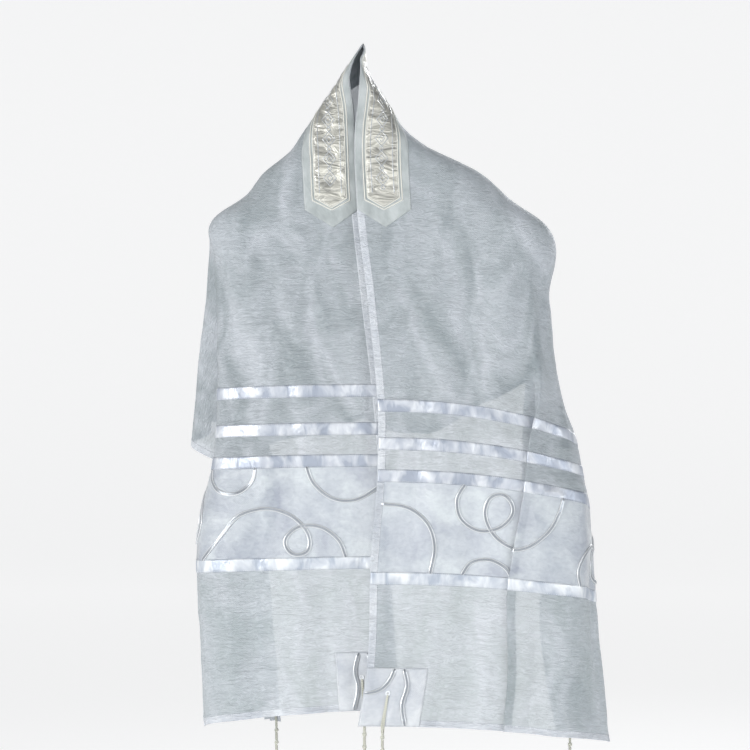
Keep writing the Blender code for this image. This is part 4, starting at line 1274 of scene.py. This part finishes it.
def strandTube(top, strand, turn):
    # one of eight plied threads that splay from the last knot, each with its own slow sway and small waves
    angle = 2 * math.pi * (strand + 0.5) / 8
    length = wool["free"] * (1 - 0.05 * ((strand * 3 + turn) % 4))
    gone = np.linspace(0, 1, 96)
    sway = 1 + 0.25 * np.sin(2.6 * gone + 1.7 * strand + turn)
    out = 0.0011 + wool["splay"] * gone * sway
    kink = 0.00045 * np.sin(62 * gone + 2.1 * strand + turn) * ease(gone / 0.1)
    bow = 0.00060 * np.sin(23 * gone + 1.3 * strand) * ease(gone / 0.1)
    path = np.stack([out * math.cos(angle) + kink, -out * math.sin(angle) + bow,
                     -wool["knotted"] - length * gone + 0.001], 1)
    thick = wool["freeThread"] * (1 - 0.25 * gone)
    return tubeParts(top + path, ahead, thick, thick, 8, 2, wool["ply"], 0.17)


def tzitzit(node, half, across, turn):
    # four threads over each face of the corner, gathered into the knots, and the eight ends below them
    end = half * cloth["lengths"][half]
    edge = placed(np.array([end]), np.array([across]), np.array([0.0018]))[0]
    top = edge - wool["drop"] * upward
    tubes = []
    for outside in (True, False):
        for order in range(4):
            lain = loopThread(half, across, (order - 1.5) * wool["apart"], outside)
            angle = math.pi * (order / 4 + (0 if outside else 1)) + 0.4
            gather = np.array([math.cos(angle), -math.sin(angle), 0]) * wool["gather"]
            below = lain[-1] * 0.45 + top * 0.55 + gather - 0.0008 * upward
            bend = smoothPath([lain[-1], below, top + gather - 0.003 * upward], 8)
            path = np.concatenate([lain, bend[1:]])
            tubes.append(tubeParts(path, ahead, wool["thread"], wool["thread"], 7))
    tubes += knottedTubes(top, turn) + [strandTube(top, strand, turn) for strand in range(8)]
    piece = joinedTubes(node + "_wool", tubes, woolThread)
    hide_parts(node)


tubes = []
for turn, (half, side, place) in enumerate(corners):
    across = inward(place, wool["in"][side + "_" + place])
    tzitzit(f"tzitzit_{side}_{place}", half, across, turn)
    hole = (half * (cloth["lengths"][half] - wool["hole"]), across)
    for reach, thick in wool["eyelet"]:
        ring = circle(reach, np.linspace(0, 2 * math.pi, 25)) + hole
        tubes.append(laidTube(ring, patchTop, 0.0001, thick, thick, 7))
joinedTubes("corner_eyelets", tubes, whiteThread)
print("stage 10: tzitzit tied")


# The floor, which curves up all round into a low wall, the light and the camera

studio = {
    "floor": -1.222, "flatTo": 6.5, "rim": 12.0, "high": 5.0, "floorColour": "#B3B4B5", "glow": 0.73,
    "world": 0.15, "worldColour": (0.92, 0.95, 1.0, 1.0), "beam": 55.0, "aim": (0.03, 0.0, -0.55),
    # each lamp's place, width and height, power and colour
    "left": ((-3.7, -3.2, 0.1), (1.6, 1.8), 21.0, (1.0, 0.995, 0.98)),
    "right": ((3.8, -2.6, 0.1), (1.6, 1.8), 9.0, (0.96, 0.98, 1.0)),
    "front": ((0.6, -5.2, -0.2), (1.6, 1.6), 2.5, (1.0, 1.0, 1.0)),
    "rear": ((1.6, 4.4, 0.9), (1.6, 1.6), 9.0, (0.97, 0.98, 1.0)),
    "eye": (0.0161, -4.05, -0.4503), "lens": 142.9, "sensor": 36.0,
}


def studioFloor():
    # a disc, flat at first, then as high as the S over the rest of its radius to the power of 1.5
    flatTo, rim = studio["flatTo"], studio["rim"]
    radius = np.concatenate([[0.0], np.linspace(1.0, flatTo, 9), np.linspace(flatTo, rim, 24)[1:]])
    height = studio["floor"] + studio["high"] * easeOver(radius, flatTo, rim) ** 1.5
    r, t = np.meshgrid(radius, np.linspace(0, 2 * math.pi, 97), indexing="ij")
    points = np.stack([r * np.cos(t), r * np.sin(t), np.broadcast_to(height[:, None], r.shape)], -1)
    made, tree = clothTree("paintedFloor")
    shader = addNode(tree, "ShaderNodeBsdfPrincipled", {
        "Base Color": fromHex(studio["floorColour"]), "Roughness": 0.9, "Specular IOR Level": 0.1,
        "Emission Color": (1, 1, 1, 1), "Emission Strength": studio["glow"]})
    addNode(tree, "ShaderNodeOutputMaterial", None, {0: shader.outputs[0]})
    uv = np.stack([r, t], -1).reshape(-1, 2)
    floor = bareMesh("studio_floor", points.reshape(-1, 3), [gridQuads(*r.shape)], uv, made)


def softbox(side):
    # a wide lamp that looks at the middle of the cloth
    place, size, power, colour = studio[side]
    lamp = bpy.data.lights.new(side + "_softbox", "AREA")
    lamp.shape, lamp.size, lamp.size_y = "RECTANGLE", size[0], size[1]
    lamp.energy, lamp.color, lamp.spread = power, colour, math.radians(studio["beam"])
    held = bpy.data.objects.new(side + "_softbox", lamp)
    held.location = place
    held.rotation_euler = (Vector(studio["aim"]) - Vector(place)).to_track_quat("-Z", "Y").to_euler()
    bpy.context.scene.collection.objects.link(held)


studioFloor()
for side in ("left", "right", "front", "rear"):
    softbox(side)
world = bpy.data.worlds.new("studioWorld")
world.use_nodes = True
background = world.node_tree.nodes["Background"]
background.inputs[0].default_value = studio["worldColour"]
background.inputs[1].default_value = studio["world"]
bpy.context.scene.world = world
bpy.context.scene.view_settings.view_transform = "Standard"

camera = bpy.data.objects.new("camera", bpy.data.cameras.new("camera"))
camera.data.lens, camera.data.sensor_width = studio["lens"], studio["sensor"]
camera.location = studio["eye"]
camera.rotation_euler = (math.radians(90), 0.0, 0.0)
bpy.context.scene.collection.objects.link(camera)
bpy.context.scene.camera = camera
print("stage 11: floor, light and camera placed")
